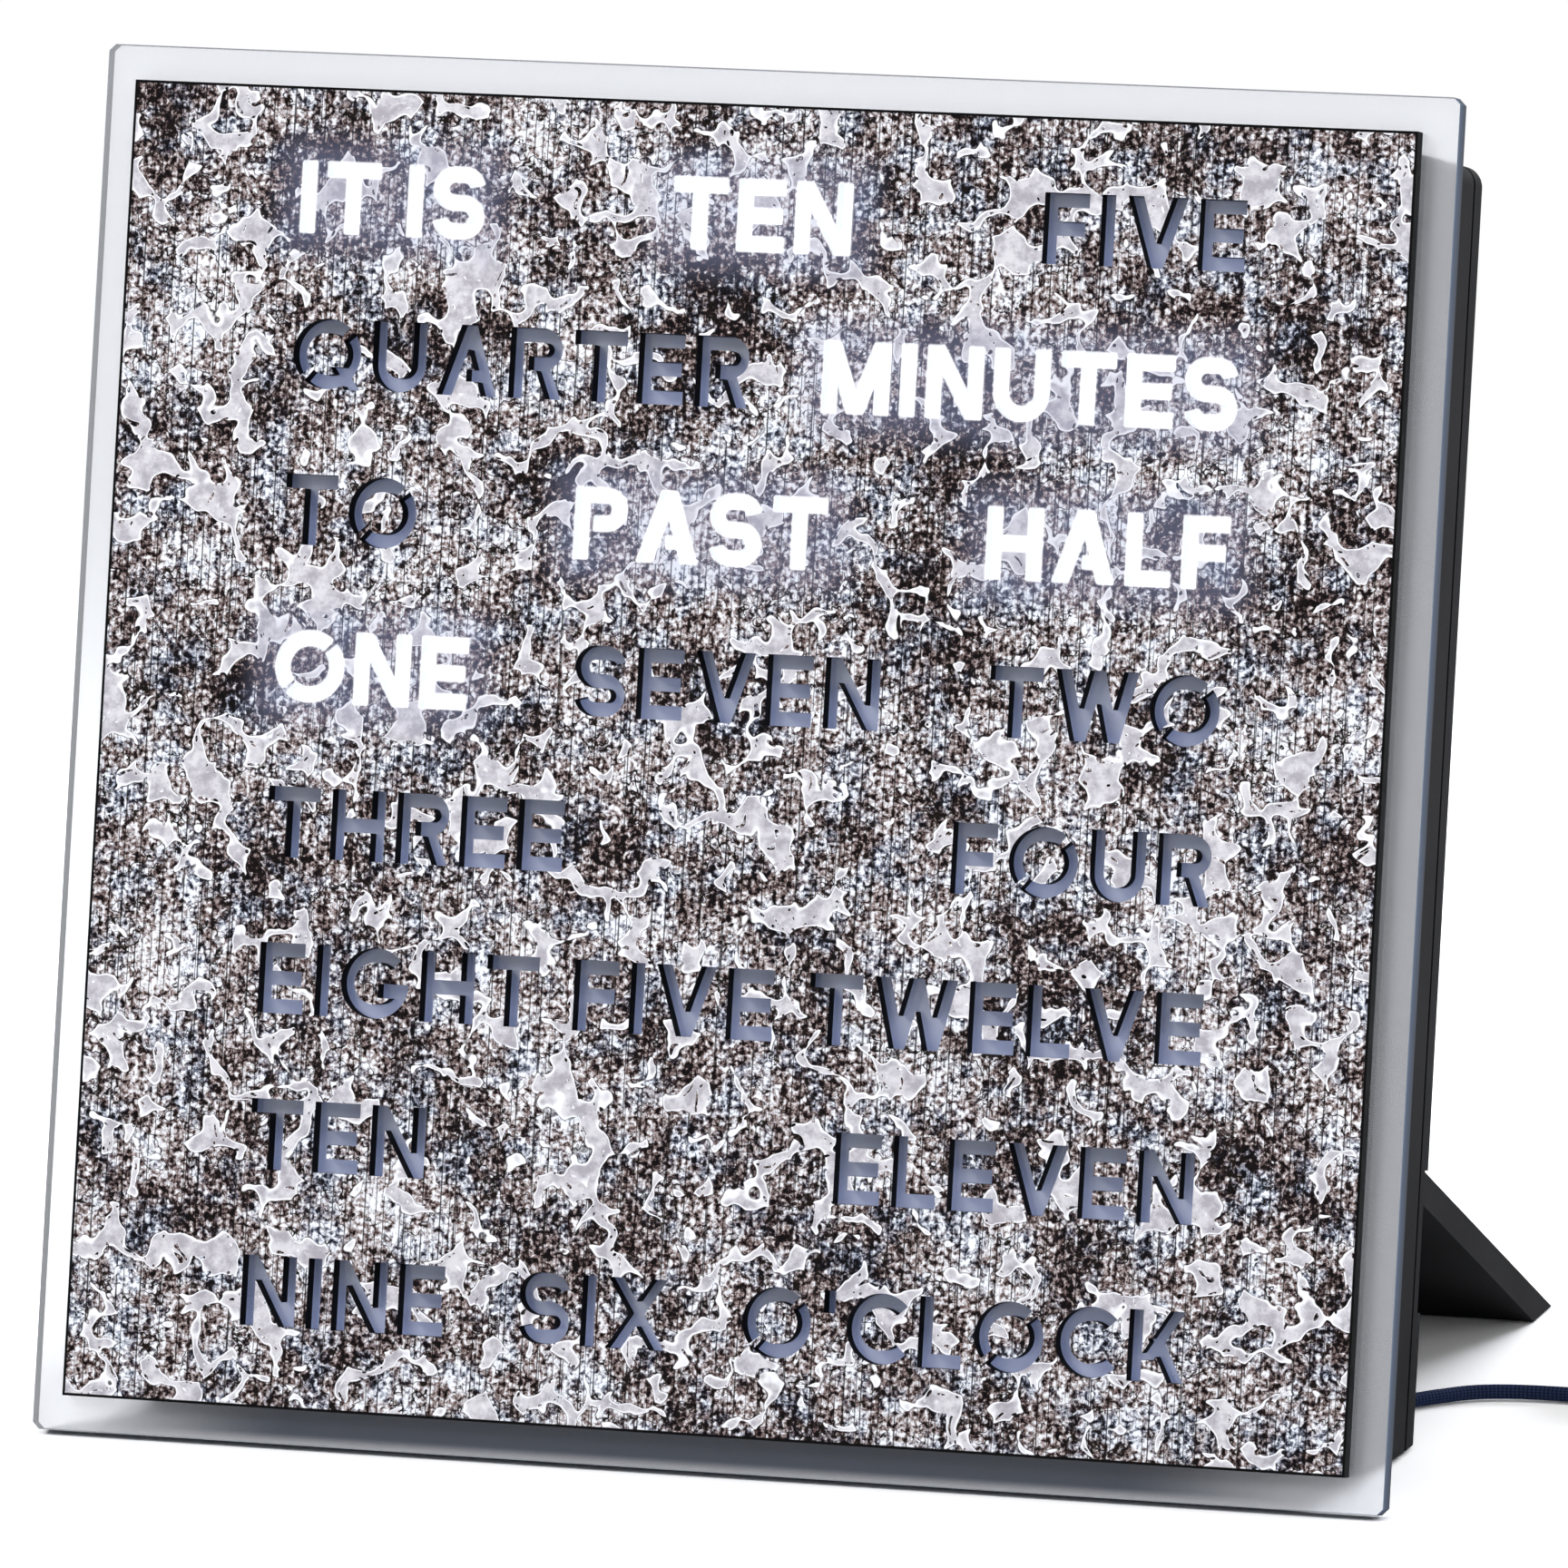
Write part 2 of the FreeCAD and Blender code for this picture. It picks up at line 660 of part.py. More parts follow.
board_pilots = rods_at("board_pilot", BOARD_PLACES, "board_screw + fit_gap",
                       f"{BOARD_FRONT} - board_reach - slack", CASE_BACK)
shell_solid = join("shell_solid", shell_frame, *corner_blocks, *board_bosses)
node("front_shell", cut("shell_drilled", shell_solid, *corner_pilots, *board_pilots))

# Light baffle with a chamber for each word, and a diffusing tile in each chamber's mouth
baffle_slab = block("baffle_slab",
                    (f"-({WINDOW_SIDE} - slack)", f"{WINDOW_SIDE} - slack"),
                    (BAFFLE_FRONT, BAFFLE_BACK),
                    (f"{WINDOW_LOW} + slack", f"{WINDOW_HIGH} - slack"))
chambers = given("chambers", word_boxes(size("pocket_margin"), 0, evaluate(CASE_BACK)))
node("light_baffle", cut("baffle_with_chambers", baffle_slab, chambers))
tile_margin = size("pocket_margin") - size("slack") / 3
for state, name in ((True, "lit_tiles"), (False, "dark_tiles")):
    tiles = word_boxes(tile_margin, evaluate(BAFFLE_FRONT), size("tile_thick"), state)
    node(name, given(f"{name}_shapes", tiles))

# Lamp board with what it carries: a lamp behind each letter, a switch behind each word
board_slab = block("board_slab", (f"-({CAVITY_SIDE} - slack)", f"{CAVITY_SIDE} - slack"),
                   (BOARD_FRONT, BOARD_BACK),
                   (f"{CAVITY_LOW} + slack", f"{CAVITY_HIGH} - slack"))
board_notches = [
    block("board_notch", sided(sign, f"{CAVITY_SIDE} - corner_block - 2 * slack", CASE_SIDE),
          ("0", CASE_BACK), span)
    for sign in SIGNS
    for span in (("0", f"{CAVITY_LOW} + corner_block + 2 * slack"),
                 (f"{CAVITY_HIGH} - corner_block - 2 * slack", "pane_side"))
]
board_holes = rods_at("board_hole", BOARD_PLACES, "board_screw + slack", "0", CASE_BACK)
node("led_board", cut("board_cut", board_slab, *board_notches, *board_holes))

lamps = []
for word in words:
    for letter, place in word["letters"]:
        if letter != "'":
            middle = word["left"] + place + SHARES[letter] * cap / 2
            corner = Vector(middle - size("lamp_wide") / 2,
                            evaluate(BOARD_FRONT) - size("lamp_thick"),
                            word["low"] + cap / 2 - size("lamp_high") / 2)
            lamps.append(Part.makeBox(size("lamp_wide"), size("lamp_thick"),
                                      size("lamp_high"), corner))
node("leds", given("lamps", Part.makeCompound(lamps)))

switches = [
    Part.makeBox(size("switch_long"), size("switch_thick"), size("switch_high"),
                 Vector(word["left"] + word["wide"] / 2, evaluate(BOARD_BACK), word["low"]))
    for word in words
]
node("word_switches", given("switches", Part.makeCompound(switches)))


def on_board(name, across, up, wide, high, thick):
    """A box that stands on the back of the lamp board, about its middle."""
    return block(name, (f"{across} - {wide} / 2", f"{across} + {wide} / 2"),
                 (BOARD_BACK, f"{BOARD_BACK} + {thick}"),
                 (f"{up} - {high} / 2", f"{up} + {high} / 2"))


node("driver_chips", *[
    on_board("driver_chip", across, up, "chip_side", "chip_side * 0.75", "chip_thick")
    for across in ("-chip_spread", "chip_spread")
    for up in ("driver_low", "driver_high")
])
node("controller_chip", on_board("controller", "0", "chip_high", "chip_side", "chip_side",
                                 "chip_thick"))
node("clock_crystal", rod("crystal_can", "x", "crystal_radius", "crystal_long",
                          ("chip_side", f"{BOARD_BACK} + crystal_radius", "chip_high")))
node("capacitor", rod("capacitor_can", "y", "capacitor_radius", "capacitor_long",
                      ("chip_spread", BOARD_BACK, "chip_high")))
holder_place = ("-chip_spread", BOARD_BACK, "chip_high")
holder_rim = rod("holder_rim", "y", "cell_radius + holder_wall", "holder_floor + cell_thick",
                 holder_place)
CELL_FRONT = f"({BOARD_BACK} + holder_floor)"
holder_hollow = rod("holder_hollow", "y", "cell_radius + slack / 2", "cell_thick + 1",
                    ("-chip_spread", CELL_FRONT, "chip_high"))
node("coin_cell_holder", cut("holder", holder_rim, holder_hollow))
node("coin_cell", rod("cell", "y", "cell_radius", "cell_thick",
                      ("-chip_spread", CELL_FRONT, "chip_high")))
node("board_screws", *screw_group("board_screw", BOARD_PLACES, "board_screw", "board_head",
                                  f"({BOARD_FRONT} - board_reach)", BOARD_BACK, "head_thick"))

# Rear cover: a shallow lid with a recess for the foot, lugs, stops and holes
cover_slab = slab("cover", CASE_SIDE, ("case_low", CASE_HIGH), (COVER_FRONT, CASE_BACK),
                  "case_corner")
cover_floor = block("cover_floor", (f"-{CAVITY_SIDE} + 1", f"{CAVITY_SIDE} - 1"),
                    (f"{RECESS_FLOOR} - recess_floor", f"{COVER_FRONT} + 1"),
                    ("recess_low - recess_floor", f"{RECESS_HIGH} + recess_floor"))
lip_outer = block("lip_outer", (f"-({CAVITY_SIDE} - slack)", f"{CAVITY_SIDE} - slack"),
                  (f"{SHELL_BACK} - lip_depth", f"{COVER_FRONT} + 1"),
                  (f"{CAVITY_LOW} + slack", f"{CAVITY_HIGH} - slack"))
lip_inner = block("lip_inner",
                  (f"-({CAVITY_SIDE} - slack - lip_thick)", f"{CAVITY_SIDE} - slack - lip_thick"),
                  ("0", f"{COVER_FRONT}"),
                  (f"{CAVITY_LOW} + slack + lip_thick", f"{CAVITY_HIGH} - slack - lip_thick"))
lip_gaps = [
    block("lip_gap", sided(sign, f"{CAVITY_SIDE} - corner_block - slack", CASE_SIDE),
          ("0", SHELL_BACK), span)
    for sign in SIGNS
    for span in (("0", f"{CAVITY_LOW} + corner_block + slack"),
                 (f"{CAVITY_HIGH} - corner_block - slack", "pane_side"))
]
cover_lip = cut("cover_lip", lip_outer, lip_inner, *lip_gaps)
lug_places = [f"{sign}{LUG_PLACE}" for sign in SIGNS]
lugs = []
for place in lug_places:
    lugs.append(block("lug_root", (f"{place} - lug_wide / 2", f"{place} + lug_wide / 2"),
                      (f"{RECESS_FLOOR} - 1", HINGE_BACK),
                      ("hinge_high - foot_thick / 2", "hinge_high + foot_thick / 2")))
    lugs.append(rod("lug_eye", "x", "foot_thick / 2", "lug_wide",
                    (f"{place} - lug_wide / 2", HINGE_BACK, "hinge_high")))
pins = [
    rod("hinge_pin", "x", "pin_radius", "pin_length",
        (f"{place} - pin_length / 2", HINGE_BACK, "hinge_high"))
    for place in lug_places
]
stops = [
    block("stop", (f"{sign}{STOP_PLACE} - stop_wide / 2", f"{sign}{STOP_PLACE} + stop_wide / 2"),
          (f"{RECESS_FLOOR} - 1", f"{CASE_BACK} - slack"), ("recess_low - 1", "hinge_high"))
    for sign in SIGNS
]
above_stops = tilted_block(
    "above_stops", CASE_SIDE,
    (f"{HINGE_BACK} - 20 * cos(foot_drop) - (foot_thick / 2 + slack) * sin(foot_drop)",
     "hinge_high + 20 * sin(foot_drop) - (foot_thick / 2 + slack) * cos(foot_drop)"),
    "-foot_drop", "40", "20")
recess = block("recess", (f"-{RECESS_SIDE}", RECESS_SIDE), (RECESS_FLOOR, f"{CASE_BACK} + 5"),
               ("recess_low", RECESS_HIGH))
side_notch = block("side_notch", ("-pane_side", "pane_side"),
                   (f"{CASE_BACK} - notch_depth", f"{CASE_BACK} + 5"),
                   ("recess_low", "notch_high"))
BUTTON_PLACES = [
    (f"({BUTTON_PLACE} + {step} * button_pitch)", BUTTON_HIGH) for step in (-1, 0, 1)
]
POST_PLACES = [
    (f"({BUTTON_PLACE} + {sign}(button_pitch + post_step))", BUTTON_HIGH) for sign in SIGNS
]
cover_room = block("cover_room", (f"-({CAVITY_SIDE} - 2 * corner_block)",
                                  f"{CAVITY_SIDE} - 2 * corner_block"),
                   ("0", COVER_INNER),
                   (f"{RECESS_HIGH} + recess_floor", f"{CAVITY_HIGH} - lip_thick - slack"))
cover_pads = rods_at("cover_pad", CORNER_PLACES, "corner_block / 2 - slack",
                     SHELL_BACK, f"{COVER_FRONT} + 1")
cover_posts = rods_at("cover_post", POST_PLACES, "post_radius", BUTTON_BOARD_BACK,
                      f"{COVER_INNER} + 1")
cover_holes = rods_at("cover_hole", CORNER_PLACES, "corner_screw + slack", "0",
                      f"{CASE_BACK} + 1")
cover_sinks = rods_at("cover_sink", CORNER_PLACES, "corner_head + slack",
                      f"{CASE_BACK} - sink_depth", f"{CASE_BACK} + 1")
button_holes = rods_at("button_hole", BUTTON_PLACES, "button_radius + slack / 2",
                       COVER_FRONT, f"{CASE_BACK} + 1")
post_pilots = rods_at("post_pilot", POST_PLACES, "small_screw + fit_gap", "0",
                      f"{BUTTON_BOARD_BACK} + post_depth + slack")
bush_hole = rod("bush_hole", "y", "bush_neck + fit_gap", "pane_side",
                (BUSH_PLACE, "0", BUSH_HIGH))
bush_room = rod("bush_room", "y", "bush_neck + 1.2", COVER_FRONT,
                (BUSH_PLACE, "0", BUSH_HIGH))
cover_under = under_table("cover_under", "table_gap")
cover_trimmed = cut("cover_trimmed", cover_slab, cover_under)
doc.recompute()
back_edges = [
    (number, size("cover_edge"), size("cover_edge"))
    for number, edge in enumerate(cover_trimmed.Shape.Edges, start=1)
    if all(abs(vertex.Point.y - evaluate(CASE_BACK)) < 0.01 for vertex in edge.Vertexes)
]
cover_rounded = doc.addObject("Part::Fillet", "cover_rounded")
cover_rounded.Base = cover_trimmed
cover_rounded.Edges = back_edges
cover_shell = cut("cover_shell", join("cover_block", cover_rounded, cover_floor, cover_lip),
                  recess, side_notch, cover_room)
cover_stops = cut("cover_stops", join("stop_pair", *stops), above_stops)
cover_solid = join("cover_solid", cover_shell, cover_stops, *lugs, *cover_pads, *cover_posts)
node("rear_cover", cut("cover_drilled", cover_solid, *cover_holes, *cover_sinks, *button_holes,
                       *post_pilots, bush_hole, bush_room, *pins))
node("hinge_pins", *pins)
node("cover_screws", *screw_group("cover_screw", CORNER_PLACES, "corner_screw", "corner_head",
                                  f"({SHELL_BACK} - corner_reach + slack)",
                                  f"({CASE_BACK} - sink_depth)", "head_thick"))

# Fold-out foot: a plate with a round root on the hinge, cut off level with the table
foot_plate = tilted_block(
    "foot_plate", FOOT_SIDE,
    (f"{HINGE_BACK} - foot_thick / 2 * sin(foot_drop)",
     "hinge_high - foot_thick / 2 * cos(foot_drop)"),
    "-foot_drop", f"{FOOT_REACH} + foot_thick", "foot_thick")
foot_root = rod("foot_root", "x", "foot_thick / 2", f"2 * {FOOT_SIDE}",
                (f"-{FOOT_SIDE}", HINGE_BACK, "hinge_high"))
foot_slots = [
    tilted_block("foot_slot", "lug_wide / 2 + slack",
                 (f"{HINGE_BACK} - foot_thick * (cos(foot_drop) + sin(foot_drop))",
                  "hinge_high + foot_thick * (sin(foot_drop) - cos(foot_drop))"),
                 "-foot_drop", "1.5 * foot_thick + recess_gap", "2 * foot_thick", place)
    for place in lug_places
]
foot_bores = [
    rod("foot_bore", "x", "pin_radius + fit_gap", "pin_length + 2 * slack",
        (f"{place} - pin_length / 2 - slack", HINGE_BACK, "hinge_high"))
    for place in lug_places
]
foot_under = under_table("foot_under", "0")
node("foot", cut("foot_cut", join("foot_whole", foot_plate, foot_root), foot_under,
                 *foot_slots, *foot_bores))

# Button board with its switches, ribbon and the three buttons that press them
button_slab = block("button_slab",
                    (f"{POST_PLACES[0][0]} - post_radius - slack",
                     f"{POST_PLACES[1][0]} + post_radius + slack"),
                    (BUTTON_BOARD_FRONT, BUTTON_BOARD_BACK),
                    (f"{BUTTON_HIGH} - button_board_high / 2",
                     f"{BUTTON_HIGH} + button_board_high / 2"))
button_board_holes = rods_at("button_board_hole", POST_PLACES, "small_screw + slack", "0",
                             CASE_BACK)
node("button_board", cut("button_board_cut", button_slab, *button_board_holes))
tacts = []
for across, up in BUTTON_PLACES:
    box = block("tact_box", (f"{across} - tact_side / 2", f"{across} + tact_side / 2"),
                (BUTTON_BOARD_BACK, f"{BUTTON_BOARD_BACK} + tact_thick"),
                (f"{up} - tact_side / 2", f"{up} + tact_side / 2"))
    plunger = rod("tact_plunger", "y", "tact_side / 4",
                  f"{PLUNGER_BACK} - {BUTTON_BOARD_BACK}", (across, BUTTON_BOARD_BACK, up))
    tacts.append(join("tact_switch", box, plunger))
node("tact_switches", *tacts)
node("button_board_screws", *screw_group(
    "small_screw", POST_PLACES, "small_screw", "small_head",
    f"({BUTTON_BOARD_BACK} + post_depth)", BUTTON_BOARD_FRONT, "head_thick", False))
for name, (across, up) in zip(("hour_button", "minute_button", "light_button"), BUTTON_PLACES):
    knob = rod(f"{name}_cap", "y", "button_radius",
               f"{CASE_BACK} + button_proud - {BUTTON_SEAT}", (across, BUTTON_SEAT, up))
    flange = rod(f"{name}_flange", "y", "button_radius + 1", "button_flange",
                 (across, BUTTON_SEAT, up))
    stem = rod(f"{name}_stem", "y", "tact_side / 4",
               f"{BUTTON_SEAT} - {PLUNGER_BACK} - button_travel - slack / 2",
               (across, f"{PLUNGER_BACK} + button_travel + slack / 2", up))
    node(name, join(f"{name}_solid", knob, flange, stem))

RIBBON_PLACE = BUTTON_PLACES[1][0]


def ribbon_block(name, half_across, back, half_up):
    """A box about the middle of the button board."""
    return block(name, (f"{RIBBON_PLACE} - {half_across}", f"{RIBBON_PLACE} + {half_across}"),
                 back, (f"{BUTTON_HIGH} - {half_up}", f"{BUTTON_HIGH} + {half_up}"))


node("main_ribbon_header", ribbon_block(
    "main_header", "ribbon_wide / 2 + 1", (BOARD_BACK, f"{BOARD_BACK} + header_high"),
    "header_thick / 2"))
node("button_ribbon_header", ribbon_block(
    "button_header", "ribbon_wide / 2 + 1",
    (f"{BUTTON_BOARD_FRONT} - header_high", BUTTON_BOARD_FRONT), "header_thick / 2"))
node("ribbon_cable", ribbon_block(
    "ribbon", "ribbon_wide / 2",
    (f"{BOARD_BACK} + header_high", f"{BUTTON_BOARD_FRONT} - header_high"),
    "ribbon_thick / 2"))

# Supply: bush in the cover, the lead inside with its tie, and its header on the lamp board
bush_neck = rod("bush_neck", "y", "bush_neck", f"{CASE_BACK} - {COVER_FRONT} + slack",
                (BUSH_PLACE, f"{COVER_FRONT} - slack", BUSH_HIGH))
bush_inside = rod("bush_inside", "y", "bush_neck + 0.6", "1",
                  (BUSH_PLACE, f"{COVER_FRONT} - 1.0 - slack / 2", BUSH_HIGH))
bush_flange = rod("bush_flange", "y", "bush_neck + 1.1", "bush_flange",
                  (BUSH_PLACE, CASE_BACK, BUSH_HIGH))
bush_cone = taper("bush_cone", "y", "bush_neck", "cord_radius + 0.6", "bush_nose",
                  (BUSH_PLACE, CASE_BACK, BUSH_HIGH))
bush_bore = rod("bush_bore", "y", "cord_radius + fit_gap", "pane_side",
                (BUSH_PLACE, "0", BUSH_HIGH))
lead_inside = rod("lead_inside", "y", "cord_radius",
                  f"{CASE_BACK} + bush_nose - {BOARD_BACK} - header_high",
                  (BUSH_PLACE, f"{BOARD_BACK} + header_high", BUSH_HIGH))
node("cord_bush", cut("bush_drilled", join("bush_solid", bush_neck, bush_inside, bush_flange,
                                           bush_cone), bush_bore))
node("inner_lead", lead_inside)
TIE_FRONT = f"({COVER_FRONT} - 1.0 - slack / 2 - tie_wide - slack)"
tie_ring = rod("tie_ring", "y", "cord_radius + tie_thick", "tie_wide",
               (BUSH_PLACE, TIE_FRONT, BUSH_HIGH))
tie_head = block("tie_head", (f"{BUSH_PLACE} - tie_wide / 2", f"{BUSH_PLACE} + tie_wide / 2"),
                 (TIE_FRONT, f"{TIE_FRONT} + tie_wide"),
                 (f"{BUSH_HIGH} + cord_radius", f"{BUSH_HIGH} + cord_radius + 2 * tie_thick"))
tie_bore = rod("tie_bore", "y", "cord_radius + fit_gap", "pane_side",
               (BUSH_PLACE, "0", BUSH_HIGH))
node("cable_tie", cut("tie_open", join("tie_solid", tie_ring, tie_head), tie_bore))
node("power_header", block(
    "power_header_box", (f"{BUSH_PLACE} - header_thick / 2", f"{BUSH_PLACE} + header_thick / 2"),
    (BOARD_BACK, f"{BOARD_BACK} + header_high"),
    (f"{BUSH_HIGH} - header_thick / 2", f"{BUSH_HIGH} + header_thick / 2")))

# Free cord, in the clock's own place: from the bush down to the table, then to the coil
UP_FROM_TABLE = size("cord_radius")
COIL_X = 130.0
ROUTE_Y = 10.6
bush_end = STAND.multVec(Vector(evaluate(BUSH_PLACE), evaluate(f"{CASE_BACK} + bush_nose"),
                                evaluate(BUSH_HIGH)))
bush_way = STAND.Rotation.multVec(Vector(0, 1, 0))
LEAD = 2 * size("cord_radius")
coil_outer = size("coil_radius") + size("coil_pitch") * size("coil_turns") / 2
coil_inner = size("coil_radius") - size("coil_pitch") * size("coil_turns") / 2
coil_middle = Vector(COIL_X, ROUTE_Y + coil_outer, UP_FROM_TABLE)
LAYERS = 4
ROUTE = [
    bush_end,
    bush_end + bush_way * 6.3,
    Vector(86.6, -2.6, UP_FROM_TABLE),
    Vector(91.8, 4.2, UP_FROM_TABLE),
    Vector(97.0, 9.6, UP_FROM_TABLE),
    Vector(105.5, 11.4, UP_FROM_TABLE),
    Vector(117.5, ROUTE_Y, UP_FROM_TABLE),
    Vector(COIL_X - LEAD, ROUTE_Y, UP_FROM_TABLE),
]


def round_face(radius, point, way):
    """A round outline square to a route at its start."""
    return Part.Wire(Part.makeCircle(radius, point, way))


def sweep(path, radius, point, way):
    """A closed round tube along a path."""
    return path.makePipeShell([round_face(radius, point, way)], True, False)


def tube(name, points, radius):
    """A tube of straight runs joined by tangent arcs, as wide as their runs allow."""
    edges = []
    last = points[0]
    length = 0.0
    for before, corner, after in zip(points, points[1:], points[2:]):
        way_in = (corner - before).normalize()
        way_out = (after - corner).normalize()
        half_turn = way_in.getAngle(way_out) / 2
        trim = 0.45 * min((corner - before).Length, (after - corner).Length)
        bend = trim / math.tan(half_turn)
        start = corner - way_in * trim
        end = corner + way_out * trim
        inward = (way_out - way_in).normalize()
        middle = corner + inward * (bend / math.cos(half_turn) - bend)
        edges.append(Part.LineSegment(last, start).toShape())
        edges.append(Part.Arc(start, middle, end).toShape())
        length += (start - last).Length + 2 * half_turn * bend
        last = end
        print(f"{name}: radius {bend:.1f} mm, {bend / (2 * radius):.1f} cord diameters")
    edges.append(Part.LineSegment(last, points[-1]).toShape())
    length += (points[-1] - last).Length
    solid = sweep(Part.Wire(edges), radius, points[0], points[1] - points[0])
    ratio = solid.Volume / (math.pi * radius ** 2 * length)
    print(f"{name}: length {length:.1f} mm, volume over section times length {ratio:.4f}")
    return solid, length


def climb(turn):
    """Height of the coil's line: it climbs a layer in the half turn about each reversal."""
    height = 0.0
    for layer in range(1, LAYERS):
        share = (turn - layer * size("coil_turns")) / 0.5 + 0.5
        share = min(max(share, 0.0), 1.0)
        height += size("coil_pitch") * share * share * (3 - 2 * share)
    return height


def coil_point(turn):
    """Point of the coil's line: it spirals in, out, in and out again at a steady rate."""
    layer = min(int(turn / size("coil_turns")), LAYERS - 1)
    share = turn - layer * size("coil_turns")
    spread = coil_outer - size("coil_pitch") * share
    if layer % 2:
        spread = coil_inner + size("coil_pitch") * share
    angle = 2 * math.pi * turn - math.pi / 2
    return coil_middle + Vector(spread * math.cos(angle), spread * math.sin(angle), climb(turn))


def coil_way(turn):
    """Unit direction of the coil's line."""
    step = 0.002
    return (coil_point(turn + step) - coil_point(turn - step)).normalize()


def biarc(start, way_in, end, way_out):
    """Two tangent arcs from one point and direction to another."""
    gap = end - start
    both = way_in + way_out
    square = 2 * (way_in.dot(way_out) - 1)
    straight = gap.dot(both)
    reach = (straight - math.sqrt(straight ** 2 - square * gap.dot(gap))) / square
    near = start + way_in * reach
    far = end - way_out * reach
    joint = (near + far) * 0.5

    def arc(first, control, last):
        weight = (last - first).Length / 2 / (control - first).Length
        middle = (first + last + control * (2 * weight)) * (1 / (2 + 2 * weight))
        return Part.Arc(first, middle, last).toShape()

    return [arc(start, near, joint), arc(joint, far, end)]


def coil_path():
    """The coil as biarcs of a quarter turn, straight for one diameter at each end."""
    turns = LAYERS * size("coil_turns")
    quarters = round(turns * 4)
    marks = [turns * number / quarters for number in range(quarters + 1)]
    ways = [Vector(1, 0, 0)] + [coil_way(mark) for mark in marks[1:-1]] + [Vector(0, 1, 0)]
    points = [coil_point(mark) for mark in marks]
    edges = [Part.LineSegment(points[0] - ways[0] * LEAD, points[0]).toShape()]
    for number in range(quarters):
        edges += biarc(points[number], ways[number], points[number + 1], ways[number + 1])
    edges.append(Part.LineSegment(points[-1], points[-1] + ways[-1] * LEAD).toShape())
    return Part.Wire(edges), points[-1] + ways[-1] * LEAD


def least_gap(path, radius):
    """Least free gap of a tube to itself, measured between points along its path."""
    step = 1.0
    points = path.discretize(Number=int(path.Length / step))
    apart = int(4 * radius / step) + 8
    closest = min(
        (points[first] - points[second]).Length
        for first in range(len(points))
        for second in range(first + apart, len(points))
    )
    return closest - 2 * radius


cord_radius = size("cord_radius")
cord_solid, cord_length = tube("cord", ROUTE, cord_radius)
node("cord", given("cord_shape", cord_solid), placement=Placement())
coil_line, coil_end = coil_path()
coil_solid = sweep(coil_line, cord_radius, ROUTE[-1], Vector(1, 0, 0))
print(f"coil: length {coil_line.Length:.1f} mm, least gap {least_gap(coil_line, cord_radius):.2f}")
print(f"coil: volume over section times length "
      f"{coil_solid.Volume / (math.pi * cord_radius ** 2 * coil_line.Length):.4f}")
node("cord_coil", given("coil_shape", coil_solid), placement=Placement())
PLUG_HEIGHT = 3.8
plug_start = Vector(147.3, 61.5, PLUG_HEIGHT)
TAIL = [
    coil_end,
    coil_end + Vector(0, 6.5, 0),
    Vector(148.2, 46.5, 6.9),
    Vector(147.3, 54.5, PLUG_HEIGHT),
    plug_start,
]
tail_solid, tail_length = tube("tail", TAIL, cord_radius)
node("cord_tail", given("tail_shape", tail_solid), placement=Placement())
inside_length = evaluate(f"{CASE_BACK} + bush_nose - {BOARD_BACK} - header_high")
whole = inside_length + cord_length + coil_line.Length + tail_length
print(f"cord from header to plug {whole:.0f} mm, outside {whole - inside_length:.0f} mm")
print("points in metres", [tuple(round(value / 1000, 5) for value in point)
                           for point in ROUTE[:2] + TAIL[:2]])

# Supply plug beside the coil: tapered relief, moulded grip, metal shell and its tongue
RELIEF = 7.0
GRIP = (15.4, 22.0, 7.4)
SHELL = (12.0, 18.7, 4.5)
SHELL_WALL = 0.35
TONGUE = (11.1, 16.0, 1.9)


def plug_box(sides, start, rise=0.0):
    """A box of the plug about its line: across, along and up."""
    across, along, up = sides
    low = plug_start + Vector(-across / 2, start, rise - up / 2)
    return Part.makeBox(across, along, up, low)


relief = Part.makeCone(cord_radius + 0.6, cord_radius + 1.6, RELIEF, plug_start, Vector(0, 1, 0))
node("plug_relief", given("relief_shape", relief), placement=Placement())
grip = plug_box(GRIP, RELIEF)
grip = grip.makeFillet(1.8, [edge for edge in grip.Edges
                             if abs(edge.tangentAt(edge.FirstParameter).y) > 0.99])
node("usb_plug_grip", given("grip_shape", grip), placement=Placement())
shell_start = RELIEF + GRIP[1]
hollow = (SHELL[0] - 2 * SHELL_WALL, SHELL[1] + 1, SHELL[2] - 2 * SHELL_WALL)
plug_shell = plug_box(SHELL, shell_start).cut(plug_box(hollow, shell_start))
node("usb_plug_shell", given("plug_shell_shape", plug_shell), placement=Placement())
tongue_rise = (TONGUE[2] - SHELL[2]) / 2 + SHELL_WALL + 0.05
tongue = plug_box(TONGUE, shell_start, tongue_rise)
node("usb_plug_tongue", given("tongue_shape", tongue), placement=Placement())

doc.recompute()
for item in doc.Objects:
    if "Invalid" in item.State or "Error" in item.State:
        raise RuntimeError(f"{item.Name} failed: {item.State}")
for piece in nodes:
    if piece.Shape.isNull() or not piece.Shape.isValid() or not piece.Shape.Solids:
        raise RuntimeError(f"{piece.Label} has no valid solid")
    piece.Shape.exportStep(f"parts/{piece.Label}.step")
print(len(nodes), "pieces written")
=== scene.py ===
# %% [markdown]
# # A word clock of glass, stone-look steel and black plastic
# The clock is a clear glass pane that leans back on its lower edge. A steel plate with a worn
# stone print is bonded on its front, and words are cut through the plate. Behind the pane hangs a
# black casing with one lamp chamber for each word, and a fold-out foot carries it.
#
# The rigid pieces come ready made, in metres, with +Z up and the words facing -Y. This lesson
# sets up the camera, makes the woven lead, lights the studio, and gives every piece its finish.

